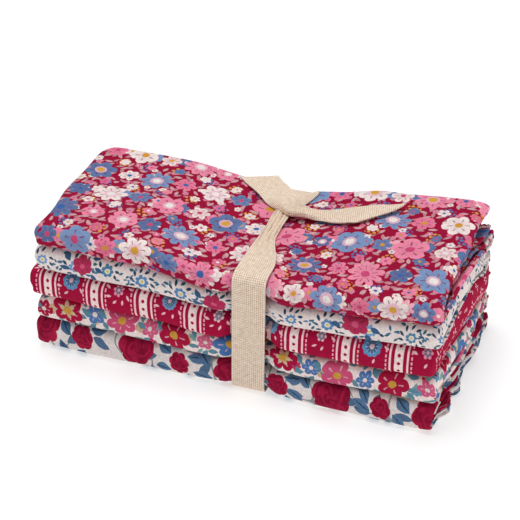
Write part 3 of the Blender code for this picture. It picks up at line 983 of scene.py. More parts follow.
class Drawing:
    """Draws repeating motifs over the flat cloth in one node tree; colour is what is drawn so far."""

    def __init__(self, book: NodeBook, ground: str, seed: float, warp: float, tremble: float) -> None:
        """Reads the cloth's flat places and bends them a little, so that no motif sits on an even grid.

        Args:
            book: The material's book.
            ground: The colour to draw on.
            seed: Where in the noise the bend is taken.
            warp: How far the slow bend goes, in mm.
            tremble: How far the fine bend of a printed edge goes, in mm.
        """
        self.book = book
        self.colour: Wire | str = ground
        self.flat = book.flat()
        moved = book.vector("ADD", self.flat, (seed * 0.37, seed * 0.19, 0))

        def bend(scale: float, reach: float) -> Wire:
            """A step to any side by noise, in metres."""
            noise = book.noise(moved, scale, 1.0, output="Color")
            return book.vector("SCALE", book.vector("SUBTRACT", noise, (0.5, 0.5, 0.5)), Scale=reach)

        slow, fine = bend(28.0, warp * 2 * MM), bend(420.0, tremble * MM)
        self.cloth = book.vector("ADD", book.vector("ADD", self.flat, slow), fine)
        self.across, self.along, _ = book.split(self.cloth, "XYZ")

    def lay(self, mask: Wire, shade: Wire | str) -> None:
        """Draws a shade over the colour so far, by a mask from 0 to 1."""
        self.colour = self.book.mix(mask, self.colour, shade)

    def places(self, bed: Bed) -> Place:
        """The place of every point in its motif: the offset from the middle of its cell, less the cell's
        random step, in metres, and the same as distance and angle with a random turn.
        """
        wide, deep = bed.pitch[0] * MM, bed.pitch[1] * MM
        row_at = self.along / deep + bed.shift[1]
        row = row_at.floor()
        column_at = self.across / wide + bed.shift[0] + row.cycle(2.0) * 0.5
        column = column_at.floor()
        chance = self.book.chance(column, row, bed.seed)
        colour = Wire(self.book, chance.socket.node.outputs["Color"])
        red, green, blue = self.book.split(colour, "Color")
        across = (column_at - column - 0.5) * wide - (red - 0.5) * (bed.jitter * MM)
        along = (row_at - row - 0.5) * deep - (green - 0.5) * (bed.jitter * MM)
        reach = (across * across + along * along).math("SQRT")
        angle = along.math("ARCTAN2", across) + blue * TURN
        order = (column * 0.7549 + row * 0.5698 + bed.seed * 0.37).cycle(1.0)
        return Place(reach, angle, chance, blue, order)

    @staticmethod
    def disc(place: Place, radius: float, edge: float = PRINTED_EDGE / MM) -> Wire:
        """A round dot, its radius and its soft edge in mm."""
        return (radius * MM - place.reach).soft(edge * MM)

    def blossom(self, place: Place, shape: Blossom) -> tuple[Wire, Wire, Wire]:
        """A flower: its whole, its centre and the strokes in its petals, each 0 to 1.

        The edge's radius falls by the notch times 1 - |cos(petals * angle / 2)| to a power.
        """
        more = ((place.other * 7.31).cycle(1.0) * (shape.many - shape.few + 1)).floor()
        wave = abs((place.angle * (more + shape.few) * 0.5).math("COSINE"))
        notch = more * shape.deeper + shape.notch
        radius = (1 - shape.uneven * place.chance) * (shape.radius * MM)
        edge = radius * ((wave**shape.roundness - 1) * notch + 1)
        whole = (edge - place.reach).soft()
        centre = (radius * shape.centre - place.reach).soft()
        start, end = shape.stroke
        stroke = (wave > shape.stroke_from) * (radius * end - place.reach).soft()
        return whole, centre, stroke * (place.reach - radius * start).soft()

    def bloom(self, place: Place, shape: Blossom, shades: str) -> tuple[Wire, Wire]:
        """Draws a flower in one of some shades, and gives its centre and its strokes."""
        whole, centre, line = self.blossom(place, shape)
        self.lay(whole, self.book.pick(place.order, shades))
        return centre, line

    @staticmethod
    def leaf(along: Wire, away: Wire, length: float, width: float) -> Wire:
        """A pointed leaf: where away is under width * (1 - (along / length)^2), its halves in mm."""
        scaled = along / (length * MM)
        return ((1 - scaled * scaled) * (width * MM) - abs(away)).soft()

    def leaves(self, place: Place, ring: Ring) -> Wire:
        """A ring of leaves, with some left out at random: 1 on the leaves and 0 elsewhere."""
        sector = place.angle * (ring.count / TURN)
        index = sector.floor()
        off = (sector - index - 0.5) * (TURN / ring.count)
        kept = self.book.chance(index.cycle(float(ring.count)), place.chance, 3.0) < ring.share
        out = place.reach - ring.middle * MM
        aside = off * place.reach
        cos, sin = math.cos(ring.lean), math.sin(ring.lean)
        along, away = out * cos + aside * sin, aside * cos - out * sin
        return self.leaf(along, away, ring.length, ring.width) * kept

    def loose_leaf(self, place: Place, length: float, width: float) -> Wire:
        """One pointed leaf at a random turn: half its length and half its width, in mm."""
        along, away = (place.reach * place.angle.math(part) for part in ("COSINE", "SINE"))
        return self.leaf(along, away, length, width)


@dataclass(frozen=True)
class Print:
    """Printed cotton: a plain weave, soft and matt, with the print on its right side.

    seed is where in the noise the drawing is bent, and warp and tremble how far, in mm. thread is how
    far apart the weave's threads lie. The wrong side goes to the colour wrong by wrong_share.
    """

    name: str
    ground: str
    seed: float
    warp: float = 3.0
    tremble: float = 0.75
    thread: float = 0.42 * MM
    wrong: str = "ead9d6"
    wrong_share: float = 0.55

    def paint(self, draw: Drawing) -> None:
        """Draws the print."""
        raise NotImplementedError

    def material(self) -> bpy.types.Material:
        """The finish: the print over a fine weave, paler on the cloth's wrong side."""
        book = NodeBook(self.name)
        draw = Drawing(book, self.ground, self.seed, self.warp, self.tremble)
        self.paint(draw)
        flat = book.flat()
        warp, weft = ((part * (TURN / self.thread)).math("SINE") for part in book.split(flat, "XYZ")[:2])
        weave = warp * weft
        slub, mottle = book.noise(flat, 900.0), book.noise(flat, 160.0)
        shade = (slub - 0.5) * 0.6 + (mottle - 0.5) * 0.3 + weave * 0.06 + 0.98
        right = book.node("ShaderNodeAttribute", {"attribute_name": "right_side"}, {}, output="Fac")
        colour = book.mix((1 - right) * self.wrong_share, draw.colour, self.wrong)
        grey = book.node("ShaderNodeCombineColor", {}, {0: shade, 1: shade, 2: shade})
        return book.finish({
            "Base Color": book.mix(1.0, colour, grey, "MULTIPLY"),
            "Roughness": slub * 0.12 + 0.84,
            "Specular IOR Level": 0.08,
            "Normal": book.bump(weave * 0.35 + slub * 0.9 + mottle * 0.8, 0.35, 0.12 * MM),
        })


@dataclass(frozen=True)
class MeadowPrint(Print):
    """A crimson ground, closely covered with daisies in pink, white and two blues."""

    def paint(self, draw: Drawing) -> None:
        """Leaves, then dots, tiny, small, middling and large flowers over each other."""
        for bed, shade in (
            (Bed((5.0, 4.3), (0.1, 0.3), 1.8, 1.0), "c08692"),
            (Bed((5.8, 4.9), (0.6, 0.8), 2.0, 2.0), "cf9fa6"),
        ):
            place = draw.places(bed)
            draw.lay(draw.loose_leaf(place, 2.1, 0.84) * (place.other < 0.78), shade)
        dots = draw.disc(draw.places(Bed((2.3, 2.1), (0, 0), 0.5, 4.0)), 0.78)
        for bed, shade in (
            (Bed((28, 20), (0.25, 0.0), 2.0, 3.0), "d69a44"),
            (Bed((28, 20), (0.75, 0.0), 2.0, 9.0), "4f77b3"),
        ):
            near = draw.disc(draw.places(bed), 3.3)
            draw.lay(near, self.ground)
            draw.lay(dots * near, shade)
        for bed, shape, shades in (
            (Bed((9.4, 8.0), (0.3, 0.1), 3.4, 10.0), Blossom(1.8, 5, 5), "f2e2df e47797 dd8aa2"),
            (
                Bed((14, 10), (0.5, 0.5), 2.6, 5.0), Blossom(3.0, 5, 6, 0.42),
                "f3e4e1 5a7daa f08aa6 f3e3e0 e06f92",
            ),
            (
                Bed((14, 20), (0.02, 0.55), 2.4, 6.0), Blossom(3.9, 5, 7, 0.36, 0.08),
                "7898c2 f3e4e1 ee86a3 5377a4 f5b4c2",
            ),
            (
                Bed((28, 20), (0.5, 0.5), 2.2, 7.0), Blossom(5.5, 5, 6, 0.44, 0.05),
                "5174a2 f5e6e2 ee86a3 f3dcd8 6085b2 ec7c9b",
            ),
            (
                Bed((28, 20), (0.0, 0.5), 1.6, 8.0), Blossom(8.5, 5, 9, 0.34, 0.06),
                "f08ca8 f5e6e2 7898c2 f392ac 5879a6",
            ),
        ):
            place = draw.places(bed)
            whole, centre, line = draw.blossom(place, shape)
            inner = draw.disc(place, shape.radius * 0.55, shape.radius * 0.9)
            draw.lay(whole, draw.book.mix(inner * 0.22, draw.book.pick(place.order, shades), "8f3a66"))
            if shape.radius > 4:
                draw.lay(line * 0.7, "741c42")
                ring = draw.disc(place, shape.radius * shape.centre * 1.5)
                draw.lay(ring * (place.other > 0.6) * 0.8, "e9b7c4")
            draw.lay(centre, draw.book.pick(place.other, "cf9436 c94a76 3f66a6 d6a040 ece3df"))


@dataclass(frozen=True)
class SprigPrint(Print):
    """An off-white ground with small blue flowers in dark leaf sprigs, and a few crimson ones."""

    warp: float = 4.0

    def paint(self, draw: Drawing) -> None:
        """Sprigs, then larger leaves, then crimson and blue flowers."""
        home = draw.places(Bed((16.5, 14), (0.3, 0.2), 3.6, 11.0))
        for ring, shade in (
            (Ring(10, 4.9, 1.35, 0.62, 0.8, 0.5), "2f4b63"),
            (Ring(11, 7.0, 1.3, 0.58, 0.6, -0.5), "3c6a80"),
            (Ring(6, 5.9, 0.8, 0.5, 0.4, 0.0), "6f9ab8"),
        ):
            draw.lay(draw.leaves(home, ring), shade)
        side = draw.places(Bed((16.5, 14), (0.8, 0.2), 4.0, 12.0))
        draw.lay(draw.leaves(side, Ring(5, 1.9, 1.2, 0.55, 0.7, 0.2)), "47779a")
        centre, _ = draw.bloom(home, Blossom(3.3, 7, 9, 0.36), "5b8cbc 4f84a8 77a0cf")
        draw.lay(draw.disc(home, 1.35), "e9e2df")
        draw.lay(centre, "dccb72")
        rose = draw.places(Bed((63, 34), (0.12, 0.35), 6.0, 13.0))
        draw.lay(draw.leaves(rose, Ring(9, 7.8, 2.3, 1.2, 0.7, 0.4)), "3c6088")
        whole, centre, line = draw.blossom(rose, Blossom(5.8, 6, 6, 0.25))
        draw.lay(whole, "b8335a")
        draw.lay(line * 0.6, "7c1738")
        draw.lay(centre, "d4577c")


@dataclass(frozen=True)
class StripePrint(Print):
    """A crimson ground with cream bands of lozenges between thin lines, and a blossom between bands.

    In mm: pitch is the distance of the bands, start how far they are moved, and fold the place of the
    folded end, past which there are small marks. band, line and lozenge are half the width of each, and
    dash half a dash's width and length. line_off and dash_off are how far the lines and dashes lie from
    a band's middle, and the other pitches are the distances along it.
    """

    warp: float = 0.15
    tremble: float = 0.2
    pitch: float = 22.9
    start: float = 4.8
    fold: float = 93.0
    band: float = 1.85
    line: float = 0.43
    line_off: float = 3.75
    dash: tuple[float, float] = (0.32, 0.64)
    dash_off: float = 5.45
    dash_pitch: float = 2.1
    lozenge: float = 0.78
    lozenge_power: float = 1.6
    lozenge_pitch: float = 3.5

    def paint(self, draw: Drawing) -> None:
        """Bands up to the folded end, small marks past it, and blue and pink blossoms between bands."""
        past_fold = (draw.across - self.fold * MM).soft()
        off_plain = (draw.across + self.start * MM).off(self.pitch * MM)
        off = off_plain + past_fold * (self.pitch * MM)
        dash = (self.dash[0] * MM - abs(off_plain - self.dash_off * MM)).soft()
        dash = dash * (self.dash[1] * MM - draw.along.off(self.dash_pitch * MM)).soft()
        power, lozenge_at = self.lozenge_power, draw.along.off(self.lozenge_pitch * MM)
        lozenge = (self.lozenge * MM - (off**power + lozenge_at**power) ** (1 / power)).soft()
        mark = draw.places(Bed((6.5, 7.0), (0.4, 0.0), 2.6, 23.0))
        draw.lay(draw.leaves(mark, Ring(5, 1.5, 1.0, 0.42, 0.7, 0.4)) * past_fold, "f5bfca")
        draw.lay((self.line * MM - abs(off - self.line_off * MM)).soft(), "ffd0da")
        draw.lay(dash, "f8b2c2")
        draw.lay((self.band * MM - off).soft(), "f9e0de")
        draw.lay(lozenge, "a8143f")
        shift = self.start / (2 * self.pitch)
        for bed, shape, shades, reach in (
            (
                Bed((self.pitch * 2, 19), (shift, 0.0), 0.8, 21.0), Blossom(4.2, 10, 12, 0.2),
                "5f94c0 6c9fc8", 6.2,
            ),
            (
                Bed((self.pitch * 2, 19), (shift + 0.5, 0.0), 0.8, 22.0), Blossom(2.7, 6, 8, 0.5),
                "ec8fab f2c6cd", 5.2,
            ),
        ):
            place = draw.places(bed)
            draw.lay(draw.leaves(place, Ring(9, reach, 1.3, 0.5, 0.72, 0.5)), "f5bfca")
            centre, line = draw.bloom(place, shape, shades)
            draw.lay(draw.disc(place, shape.radius * 0.55) * 0.8, "345f84")
            draw.lay(line * 0.8, "e9dbd8")
            draw.lay(centre, "e9b9c2")


@dataclass(frozen=True)
class PosyPrint(Print):
    """A cream ground with mixed garden flowers in pink, crimson, blue and sand."""

    def paint(self, draw: Drawing) -> None:
        """Teal leaves and red dots, then small, middling and large flowers."""
        draw.lay(draw.loose_leaf(draw.places(Bed((7.4, 6.6), (0, 0), 3.0, 31.0)), 2.3, 1.0), "7fa5a6")
        draw.lay(draw.disc(draw.places(Bed((9, 8), (0.4, 0.2), 4.0, 32.0)), 0.8), "b81b44")
        for bed, shape, shades, middle in (
            (
                Bed((10.5, 8.5), (0.5, 0.1), 2.6, 33.0), Blossom(2.9, 5, 8, 0.3),
                "cbab8b 6b9bb3 c03a64 d1b093 d57798", "9c2c4c",
            ),
            (
                Bed((25, 19), (0.5, 0.82), 2.6, 34.0), Blossom(4.8, 5, 6, 0.42),
                "d45c84 4f7ab2 ad163f d4688c", "e6d6cf",
            ),
            (
                Bed((25, 19), (0.0, 0.82), 2.0, 35.0), Blossom(7.4, 5, 6, 0.32, 0.05),
                "ad163f 4a77b2 d45c84 ad163f ce5279", "cc9b42",
            ),
        ):
            place = draw.places(bed)
            if shape.radius > 4:
                draw.lay(draw.leaves(place, Ring(6, shape.radius + 1.6, 2.4, 1.2, 0.6, 0.5)), "5f8d9e")
            centre, line = draw.bloom(place, shape, shades)
            if shape.radius > 7:
                star = draw.blossom(place, Blossom(shape.radius * 0.52, 5, 6, 0.55, roundness=1.0))[0]
                draw.lay(star * (place.other > 0.5), "cdb48f")
            if shape.radius > 4:
                draw.lay(line * 0.6, "efc6cf")
            draw.lay(centre, middle)


@dataclass(frozen=True)
class RosePrint(Print):
    """An off-white ground with crimson roses in two sizes, blue leaves and thin stems."""

    def paint(self, draw: Drawing) -> None:
        """Leaves round each rose, then the rose: its petals are rings that wind round its heart."""
        book = draw.book
        stem = (0.010 - abs(book.noise(draw.flat, 55.0, 0.0) - 0.5)).soft(0.01)
        draw.lay(stem * 0.75, "4a5e6c")
        loose = draw.places(Bed((13, 11), (0.3, 0.6), 4.0, 41.0))
        draw.lay(draw.loose_leaf(loose, 4.2, 1.9), "54708f")
        for bed, radius, ring in (
            (Bed((46, 30), (0.0, 0.5), 4.0, 42.0), 5.4, Ring(8, 8.8, 3.9, 2.2, 0.72, 0.5)),
            (Bed((46, 30), (0.5, 0.5), 4.0, 43.0), 10.8, Ring(11, 14.0, 4.2, 2.3, 0.68, 0.5)),
        ):
            place = draw.places(bed)
            leaf, vein = draw.leaves(place, ring), draw.leaves(place, replace(ring, width=0.32))
            draw.lay(leaf, book.pick(place.other, "4c6b90 456283 5a799c"))
            draw.lay(vein * leaf, "2f4865")
            wobble = book.noise(draw.cloth, 260.0, 1.0)
            swirl = (place.angle * 3.0 + place.reach * 900.0).math("SINE") * 1.9
            rings = place.reach * (TURN / (radius * 0.42 * MM)) + place.angle + swirl + wobble * 8.0
            petals = book.mix(rings.math("SINE") * 0.5 + 0.5, "c4204c", "941036")
            petals = book.mix(draw.disc(place, radius * 0.9, radius) * 0.35, petals, "5e0a26")
            draw.lay(draw.blossom(place, Blossom(radius, 6, 8, 0.17))[0], petals)


# ---------------------------------------------------------------- the ribbon


@dataclass(frozen=True)
class Canvas:
    """Unprinted cotton canvas tape: a coarse plain weave in cream, with a firm edge.

    The weave's light and shade are painted into the colour: deep in the hollows between the threads, pale
    on the threads' tops. The edge's colour is laid over edge_width.
    """

    name: str = "ribbon_canvas"
    pale: str = "fff0de"
    # deep is painted shade for the hollows between the threads, pale painted light on the threads' tops.
    deep: str = "c59872"
    edge: str = "f7eadb"
    edge_width: float = 0.9 * MM
    thread: float = 0.92 * MM

    def material(self, half_width: float) -> bpy.types.Material:
        """The finish: threads that pass over and under each other, with painted shade between them."""
        book = NodeBook(self.name)
        flat = book.flat()
        across, along, _ = book.split(flat, "XYZ")
        warp, weft = ((part * (math.pi / self.thread)).math("SINE") for part in (across, along))
        weave = warp * weft
        # High on the threads' tops and low between them: the bump's relief, and also painted shade in the
        # colour.
        relief_and_gap_shade = (abs(warp) * abs(weft)) ** 0.6
        slub = book.noise(flat, 500.0)
        edge = (abs(across) - (half_width - self.edge_width)).soft(0.5 * MM)
        # Painted shade: darker between the threads and lighter on their tops, following the weave's
        # relief.
        tone = relief_and_gap_shade * 1.15 + (slub - 0.5) * 0.9 + weave * 0.2 + 0.08
        colour = book.mix(tone.math("MINIMUM", 1.0), self.deep, self.pale)
        height = weave * 0.5 + relief_and_gap_shade * 0.6 + slub * 0.5 + edge * 0.5
        return book.finish({
            "Base Color": book.mix(edge * 0.35, colour, self.edge),
            "Roughness": slub * 0.1 + 0.85,
            "Specular IOR Level": 0.1,
            "Normal": book.bump(height, 0.9, 0.28 * MM),
        })


def curve_through(values: Sequence[float], count: int) -> np.ndarray:
    """Values eased along a smooth line through a row of them, by cubic steps between them."""
    values = np.asarray(values, float)
    at = np.linspace(0, len(values) - 1, count)
    i = np.clip(at.astype(int), 0, len(values) - 2)
    t = at - i
    padded = np.concatenate([[2 * values[0] - values[1]], values, [2 * values[-1] - values[-2]]])
    before, a, b, after = (padded[i + k] for k in range(4))
    square, cube = 2 * before - 5 * a + 4 * b - after, 3 * (a - b) + after - before
    return a + 0.5 * t * (b - before + t * (square + t * cube))


@dataclass
class TiedRibbon:
    """The ribbon: a loop round the stack, gathered into a knot on top, and two free tails.

    lift and tail_lift are how far the loop and the tails lie from the cloth. knot_y is where the knot
    lies, and the loop rises to it by knot_rise within knot_reach. gathered is the loop's width at the
    knot and gathered_shift how far it moves over there. It stays gathered over hold and widens over fade,
    each before and behind the knot. pleat, crease, tail_pleat and curl are heights of its waves. The cuts
    are how far the tails' slants go. Past roll_start of its half width the strip rolls down by roll,
    within rolls_within to the left and right of roll_x. A row of tails is a place on the strip's middle
    line, its rise over the cloth, its width and how much higher its rear edge lies, in mm.
    """

    name: str = "canvas_ribbon"
    width: float = 15 * MM
    thickness: float = 0.5 * MM
    lift: float = 0.62 * MM
    knot_y: float = 13 * MM
    knot_rise: float = 0.9 * MM
    knot_reach: float = 12.5 * MM
    gathered: float = 6.8 * MM
    gathered_shift: float = -3.2 * MM
    hold: tuple[float, float] = (16 * MM, 2 * MM)
    fade: tuple[float, float] = (28 * MM, 22 * MM)
    pleat: float = 0.7 * MM
    crease: float = 0.35 * MM
    tail_lift: float = 0.5 * MM
    tail_pleat: float = 0.45 * MM
    curl: float = 0.35 * MM
    left_cut: float = 9.3 * MM
    right_cut: float = 21 * MM
    roll_start: float = 0.2
    roll: float = math.radians(200)
    roll_x: float = 12 * MM
    rolls_within: tuple[float, float] = (8.5 * MM, 11.5 * MM)
    steps_across: int = 29
    tail_steps: int = 150
    finish: Canvas = Canvas()
    stack: Stack = Stack()
    tails: Sequence[tuple[float, float, float, float, float]] = (
        (-16.9, 43.3, 1.7, 15.2, 2.8),
        (-11.4, 37.8, 1.6, 15.2, 2.2),
        (-5.2, 32.2, 2.3, 15.2, 1.6),
        (0.8, 26.4, 2.8, 15.2, 0.6),
        (4.9, 20.6, 3.7, 13.0, 0.0),
        (8.6, 15.8, 4.5, 10.8, 0.0),
        (13.0, 12.6, 5.0, 9.4, 0.0),
        (18.4, 12.0, 4.0, 7.6, 0.0),
        (25.2, 13.8, 2.6, 8.2, 0.0),
        (32.6, 15.4, 1.5, 9.6, 0.0),
        (41.0, 16.8, 1.1, 11.6, 0.0),
        (50.4, 18.7, 1.4, 13.8, 0.4),
        (60.4, 20.6, 1.9, 14.4, 0.8),
    )

    @property
    def side(self) -> np.ndarray:
        """The places across the ribbon, from 1 to -1."""
        return np.linspace(1, -1, self.steps_across)

    def around(self) -> tuple[np.ndarray, slice]:
        """The loop's middle line as (y, z) places: under the stack, up its front, over it and down again.

        Corners are squared ovals that keep the same distance from the cloth.

        Returns:
            The line, and which of its points lie on top of the stack.
        """
        tie, top = self.stack.tie, self.stack.top
        x = np.array(tie.x)
        foot, head = (-DEPTH / 2 + tie.pulls[i] * MM for i in (0, -1))
        back = DEPTH / 2 - tie.pull
        low = self.thickness / 2 + 0.05 * MM
        first, last = float(top("quarter_rose", x, foot)), float(top("quarter_sprig", x, head))
        crest, rear = (float(top("quarter_meadow", x, y)) for y in (head, back))
        bottom_nose, top_nose = (first - tie.groove) / 2, (crest - last) / 2
        turn, lift, nose = LAYER_THICKNESS, self.lift, NOSE_DEPTH

        def arc(y: float, z: float, wide: float, high: float, start: float, square: float) -> np.ndarray:
            """A quarter of a squared oval from an angle in degrees on, lifted off the cloth."""
            angle = np.linspace(start, start - 90, 18)
            return np.array([y, z]) + squared_oval(angle, square) * [wide + lift, high + lift]

        def straight(y0: float, z0: float, y1: float, z1: float, count: int) -> np.ndarray:
            """A straight stretch, without its two ends."""
            return np.linspace((y0, z0), (y1, z1), count + 2)[1:-1]

        parts = [
            straight(back - turn, low, foot + nose, low, 20),
            arc(foot + nose, low + bottom_nose + lift, nose, bottom_nose, 270, NOSE_SQUARENESS),
            straight(foot - lift, low + bottom_nose + lift, head - lift, crest - top_nose, 34),
            arc(head + nose, crest - top_nose, nose, top_nose, 180, NOSE_SQUARENESS),
            straight(head + nose, 0, back - turn, 0, 60),
            arc(back - turn, rear - turn, turn, turn, 90, 2.0),
            straight(back + lift, rear - turn, back + lift, low + turn + lift, 26),
            arc(back - turn, low + turn + lift, turn, turn, 0, 2.0),
        ]
        return np.concatenate(parts), slice(sum(map(len, parts[:4])), sum(map(len, parts[:5])))

    def loop(self) -> tuple[Shell, float]:
        """The loop, gathered into pleats near the knot, and its length.

        Over the top the width falls to the gathered width by a soft step, and what the width loses goes
        into pleats: the height waves across the strip, more the narrower it is.
        """
        line, over = self.around()
        side, tie = self.side, self.stack.tie
        y, z = (np.repeat(line[:, i : i + 1], self.steps_across, 1) for i in (0, 1))
        x = tie.x + side * self.width / 2 + 0 * y
        distance = np.abs(y[over] - self.knot_y)
        hold, fade = (np.where(y[over] < self.knot_y, *both) for both in (self.hold, self.fade))
        gather = 1 - step(distance, hold, fade)
        half = (self.width + (self.gathered - self.width) * gather) / 2
        x[over] = tie.x + self.gathered_shift * gather + side * half
        rise = self.knot_rise * smooth(1 - distance / self.knot_reach)
        broad = 0.5 + 0.5 * np.cos(side * math.pi * 4 + 0.6 + y[over] * 30)
        pleat = gather * self.pleat * broad + gather * self.crease * np.sin(side * 7 + y[over] * 260)
        z[over] = self.stack.top("quarter_meadow", x[over], y[over]) + self.lift + rise + pleat
        middle = np.stack([x, y, z], -1)
        at = running(np.linalg.norm(np.diff(middle[:, self.steps_across // 2], axis=0), axis=1))
        flat = paired(side * self.width / 2, at[:, None])
        bake = paired((side + 1) / 2, (at / at[-1] * 0.996)[:, None])
        core = np.array([tie.x, 0, 30 * MM])
        length = float(at[-1] + np.linalg.norm(middle[0, 0] - middle[-1, 0]))
        return Shell(middle, middle - core, flat, bake, self.thickness, closed=True), length

    def rolled(self, half: np.ndarray, share: np.ndarray) -> tuple[np.ndarray, np.ndarray]:
        """The front edge's roll where the strip crosses the knot.

        Past a share of the half width the strip bends down at an even rate k: at a length l along it, it
        has gone sin(k l) / k out and (1 - cos(k l)) / k down.

        Args:
            half: Half the strip's width at each step along it.
            share: How much of the bend there is at each step along it, 0 to 1.

        Returns:
            The distance across from the strip's middle line, and the drop.
        """
        start, side = self.roll_start, self.side
        length = np.clip(-side - start, 0, 1) * half
        rate = self.roll * share / ((1 - start) * half) + 1e-3
        across = np.maximum(side, -start) * half - np.sin(rate * length) / rate
        return across, (1 - np.cos(rate * length)) / rate

    def tail_strip(self) -> tuple[Shell, float]:
        """The strip that crosses the knot and ends in two tails, each cut at a slant, and its length."""
        x, y, rise, width, bank = (
            curve_through(values, self.tail_steps)[:, None] * MM for values in zip(*self.tails)
        )
        along = np.stack([np.gradient(x[:, 0]), np.gradient(y[:, 0])])
        along = (along / np.linalg.norm(along, axis=0))[:, :, None]
        side, count = self.side, self.tail_steps
        steps = running(np.hypot(np.diff(x[:, 0]), np.diff(y[:, 0])))[:, None]
        left_slant = smooth(np.linspace(1, -1.5, count))[:, None] * (1 + side) / 2 * self.left_cut
        right_slant = np.maximum(np.linspace(-2, 1, count), 0)[:, None] ** 1.25 * self.right_cut
        slant = left_slant - right_slant * ((1 - side) / 2) ** 1.35
        near_knot = np.exp(-(((x - self.roll_x) / np.where(x < self.roll_x, *self.rolls_within)) ** 2))
        across, dropped = self.rolled(width / 2, near_knot)
        plan_x = x - along[1] * across + along[0] * slant
        plan_y = y + along[0] * across + along[1] * slant
        pleat = near_knot * self.tail_pleat * np.cos(side * math.pi * 3 + 0.4 + steps * 60)
        curl = self.curl * np.sin(steps * 190 + side * 1.2) * (1 - near_knot)
        surface = self.stack.top("quarter_meadow", plan_x, np.minimum(plan_y, DEPTH / 2))
        height = surface + self.tail_lift + rise + side * bank / 2 + pleat + curl
        middle = np.stack([plan_x, plan_y, height - dropped], -1)
        flat = paired(side * self.width / 2, steps + slant)
        bake = paired((side + 1) / 2, steps / steps[-1])
        up = np.zeros(middle.shape) + [0, 0, 1]
        return Shell(middle, up, flat, bake, self.thickness), float(steps[-1, 0])

    def dress(self) -> bpy.types.Object:
        shells, lengths = zip(self.loop(), self.tail_strip())
        piece = mesh_of(self.name, shells)
        piece.data.materials.append(self.finish.material(self.width / 2))
        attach(piece, "root")
        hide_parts("ribbon_tie")
        return piece


# ---------------------------------------------------------------- the studio


@dataclass(frozen=True)
class Studio:
    """A plain white floor, soft light from all round and the photograph's camera.

    The camera looks at target from distance, turned by azimuth from the front, and shift is its picture's
    shift. lamps are round lights over the bundle: each its name, its place and its power in watts.
    """

    target: tuple[float, float, float] = (-2.9695 * MM, 0.7093 * MM, 30 * MM)
    azimuth: float = math.radians(18.62)
    elevation: float = math.radians(35.311)
    distance: float = 615.22 * MM
    lens: float = 93.46
    shift: tuple[float, float] = (0.15 / 520, 19.5 / 520)
    floor_size: float = 40.0
    sky: tuple[float, float, float, float] = (1, 0.995, 0.99, 1)
    sky_strength: float = 0.26
    lamp_size: float = 0.9
    lamps: tuple[tuple[str, tuple[float, float, float], float], ...] = (
        ("key", (-0.2, 0.1, 1.3), 11.5),
        ("front", (-0.3, -1.2, 0.6), 1.4),
        ("right", (1.2, -0.2, 0.5), 5.0),
    )

    def add_floor(self) -> None:
        """A large white floor under the stack, lit a little more from within the further away it is."""
        half = self.floor_size / 2
        corners = [(-half, -half, 0), (half, -half, 0), (half, half, 0), (-half, half, 0)]
        mesh = bpy.data.meshes.new("floor")
        mesh.from_pydata(corners, [], [(0, 1, 2, 3)])
        book = NodeBook("floor_white")
        where = book.node("ShaderNodeTexCoord", output="Object")
        far = (book.vector("LENGTH", where, output="Value") - 0.9).soft(1.2)
        mesh.materials.append(book.finish({
            "Base Color": (0.62, 0.62, 0.62, 1),
            "Roughness": 0.9,
            "Specular IOR Level": 0.1,
            "Emission Strength": 1.0,
            "Emission Color": book.mix(far, (0.5, 0.5, 0.5, 1), (1, 1, 1, 1)),
        }))
        add_object("floor", mesh)

    def add_lights(self) -> None:
        """A bright even sky, a large soft light overhead and two weaker ones."""
        world = bpy.data.worlds.new("studio")
        world.use_nodes = True
        background = world.node_tree.nodes["Background"]
        background.inputs["Color"].default_value = self.sky
        background.inputs["Strength"].default_value = self.sky_strength
        bpy.context.scene.world = world
        for name, place, power in self.lamps:
            light = bpy.data.lights.new(name, "AREA")
            light.shape = "DISK"
            light.size = self.lamp_size
            light.energy = power
            lamp = add_object(name, light)
            lamp.location = place
            aim = Vector((0, 0, self.target[2])) - Vector(place)
            lamp.rotation_euler = aim.to_track_quat("-Z", "Y").to_euler()

    def add_camera(self) -> None:
        """The camera at the photograph's place: it looks at the target from the right and above."""
        flat, height = math.cos(self.elevation), math.sin(self.elevation)
        back = Vector((math.sin(self.azimuth) * flat, -math.cos(self.azimuth) * flat, height))
        right = (-back).cross(Vector((0, 0, 1))).normalized()
        data = bpy.data.cameras.new("camera")
        data.sensor_width = 36
        data.lens = self.lens
        data.shift_x, data.shift_y = self.shift
        data.clip_start = 0.01
        camera = add_object("camera", data)
        turn = Matrix((right, back.cross(right), back)).transposed().to_4x4()
        camera.matrix_world = Matrix.Translation(Vector(self.target) + back * self.distance) @ turn
        bpy.context.scene.camera = camera

    def build(self) -> None:
        """Adds the floor, the lights and the camera."""
        self.add_floor()
        self.add_lights()
        self.add_camera()
        bpy.context.scene.view_settings.view_transform = "Standard"


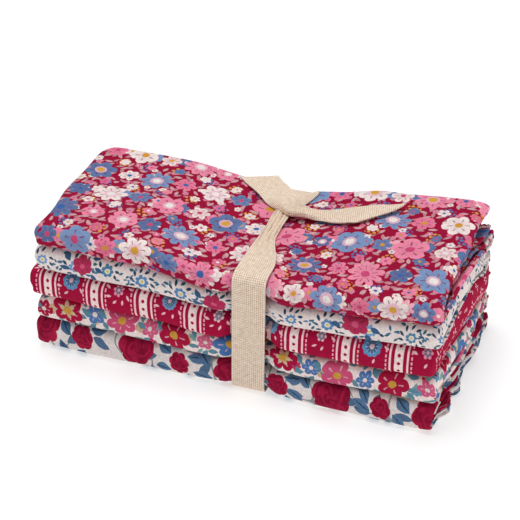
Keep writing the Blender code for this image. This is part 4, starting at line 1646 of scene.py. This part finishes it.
def quarters() -> list[FatQuarter]:
    """The five quarters, from the lowest to the highest."""
    return [
        FatQuarter(
            "quarter_rose", "table", "rose_cotton",
            Outline((-93.8, -93.0), (91.8, 98.8), (0.6, 0.4), 1.5, 2.2, 3.6),
            RosePrint("rose_print", "e9dfdc", 1.0), 1, loose=0.8, closed_end=Side.LEFT, inner_rows=26,
        ),
        FatQuarter(
            "quarter_posy", "quarter_rose", "posy_cotton",
            Outline((-91.6, -90.6), (91.8, 97.8), (-0.4, 1.2), 0.8, 1.4),
            PosyPrint("posy_print", "f4e3df", 2.0), 2, Cap(0.95, 0.3, 0.62), 0.8,
        ),
        FatQuarter(
            "quarter_stripe", "quarter_posy", "stripe_cotton",
            Outline((-94.4, -92.0), (90.6, 98.2), (1.6, -0.8), 1.9),
            StripePrint("stripe_print", "a7103c", 3.0), 3, Cap(0.97, 0.14, 0.9, 0.08),
        ),
        FatQuarter(
            "quarter_sprig", "quarter_stripe", "sprig_cotton",
            Outline((-90.0, -90.8), (91.4, 96.7), (0.8, 0.9), 0.9),
            SprigPrint("sprig_print", "eee1de", 4.0), 4, Cap(0.97, 0.12, 0.78),
        ),
        FatQuarter(
            "quarter_meadow", "quarter_sprig", "meadow_cotton",
            Outline((-88.2, -92.2), (91.0, 95.2), (0.2, 3.4), 1.5, bow=(-0.6, 2.6), corners=(8.0, 1.6)),
            MeadowPrint("meadow_print", "9b1038", 5.0), 5, Cap(0.8, 0.42, 0.66), uncovered=True,
            right_layers=(0.0, -0.6, -1.6, -3.0, -2.6, 0.0),
        ),
    ]


def main() -> None:
    """Builds the quarters, the ribbon and the studio, and reports each piece."""
    logging.basicConfig(level=logging.INFO, format="%(name)s: %(message)s")
    pieces = [quarter.dress() for quarter in quarters()]
    pieces.append(TiedRibbon().dress())
    Studio().build()
    for piece in pieces:
        size = ", ".join(f"{side * 1000:.1f}" for side in piece.dimensions)
        LOG.info("%s: %d faces, %s mm", piece.name, len(piece.data.polygons), size)


if __name__ == "__main__":
    main()
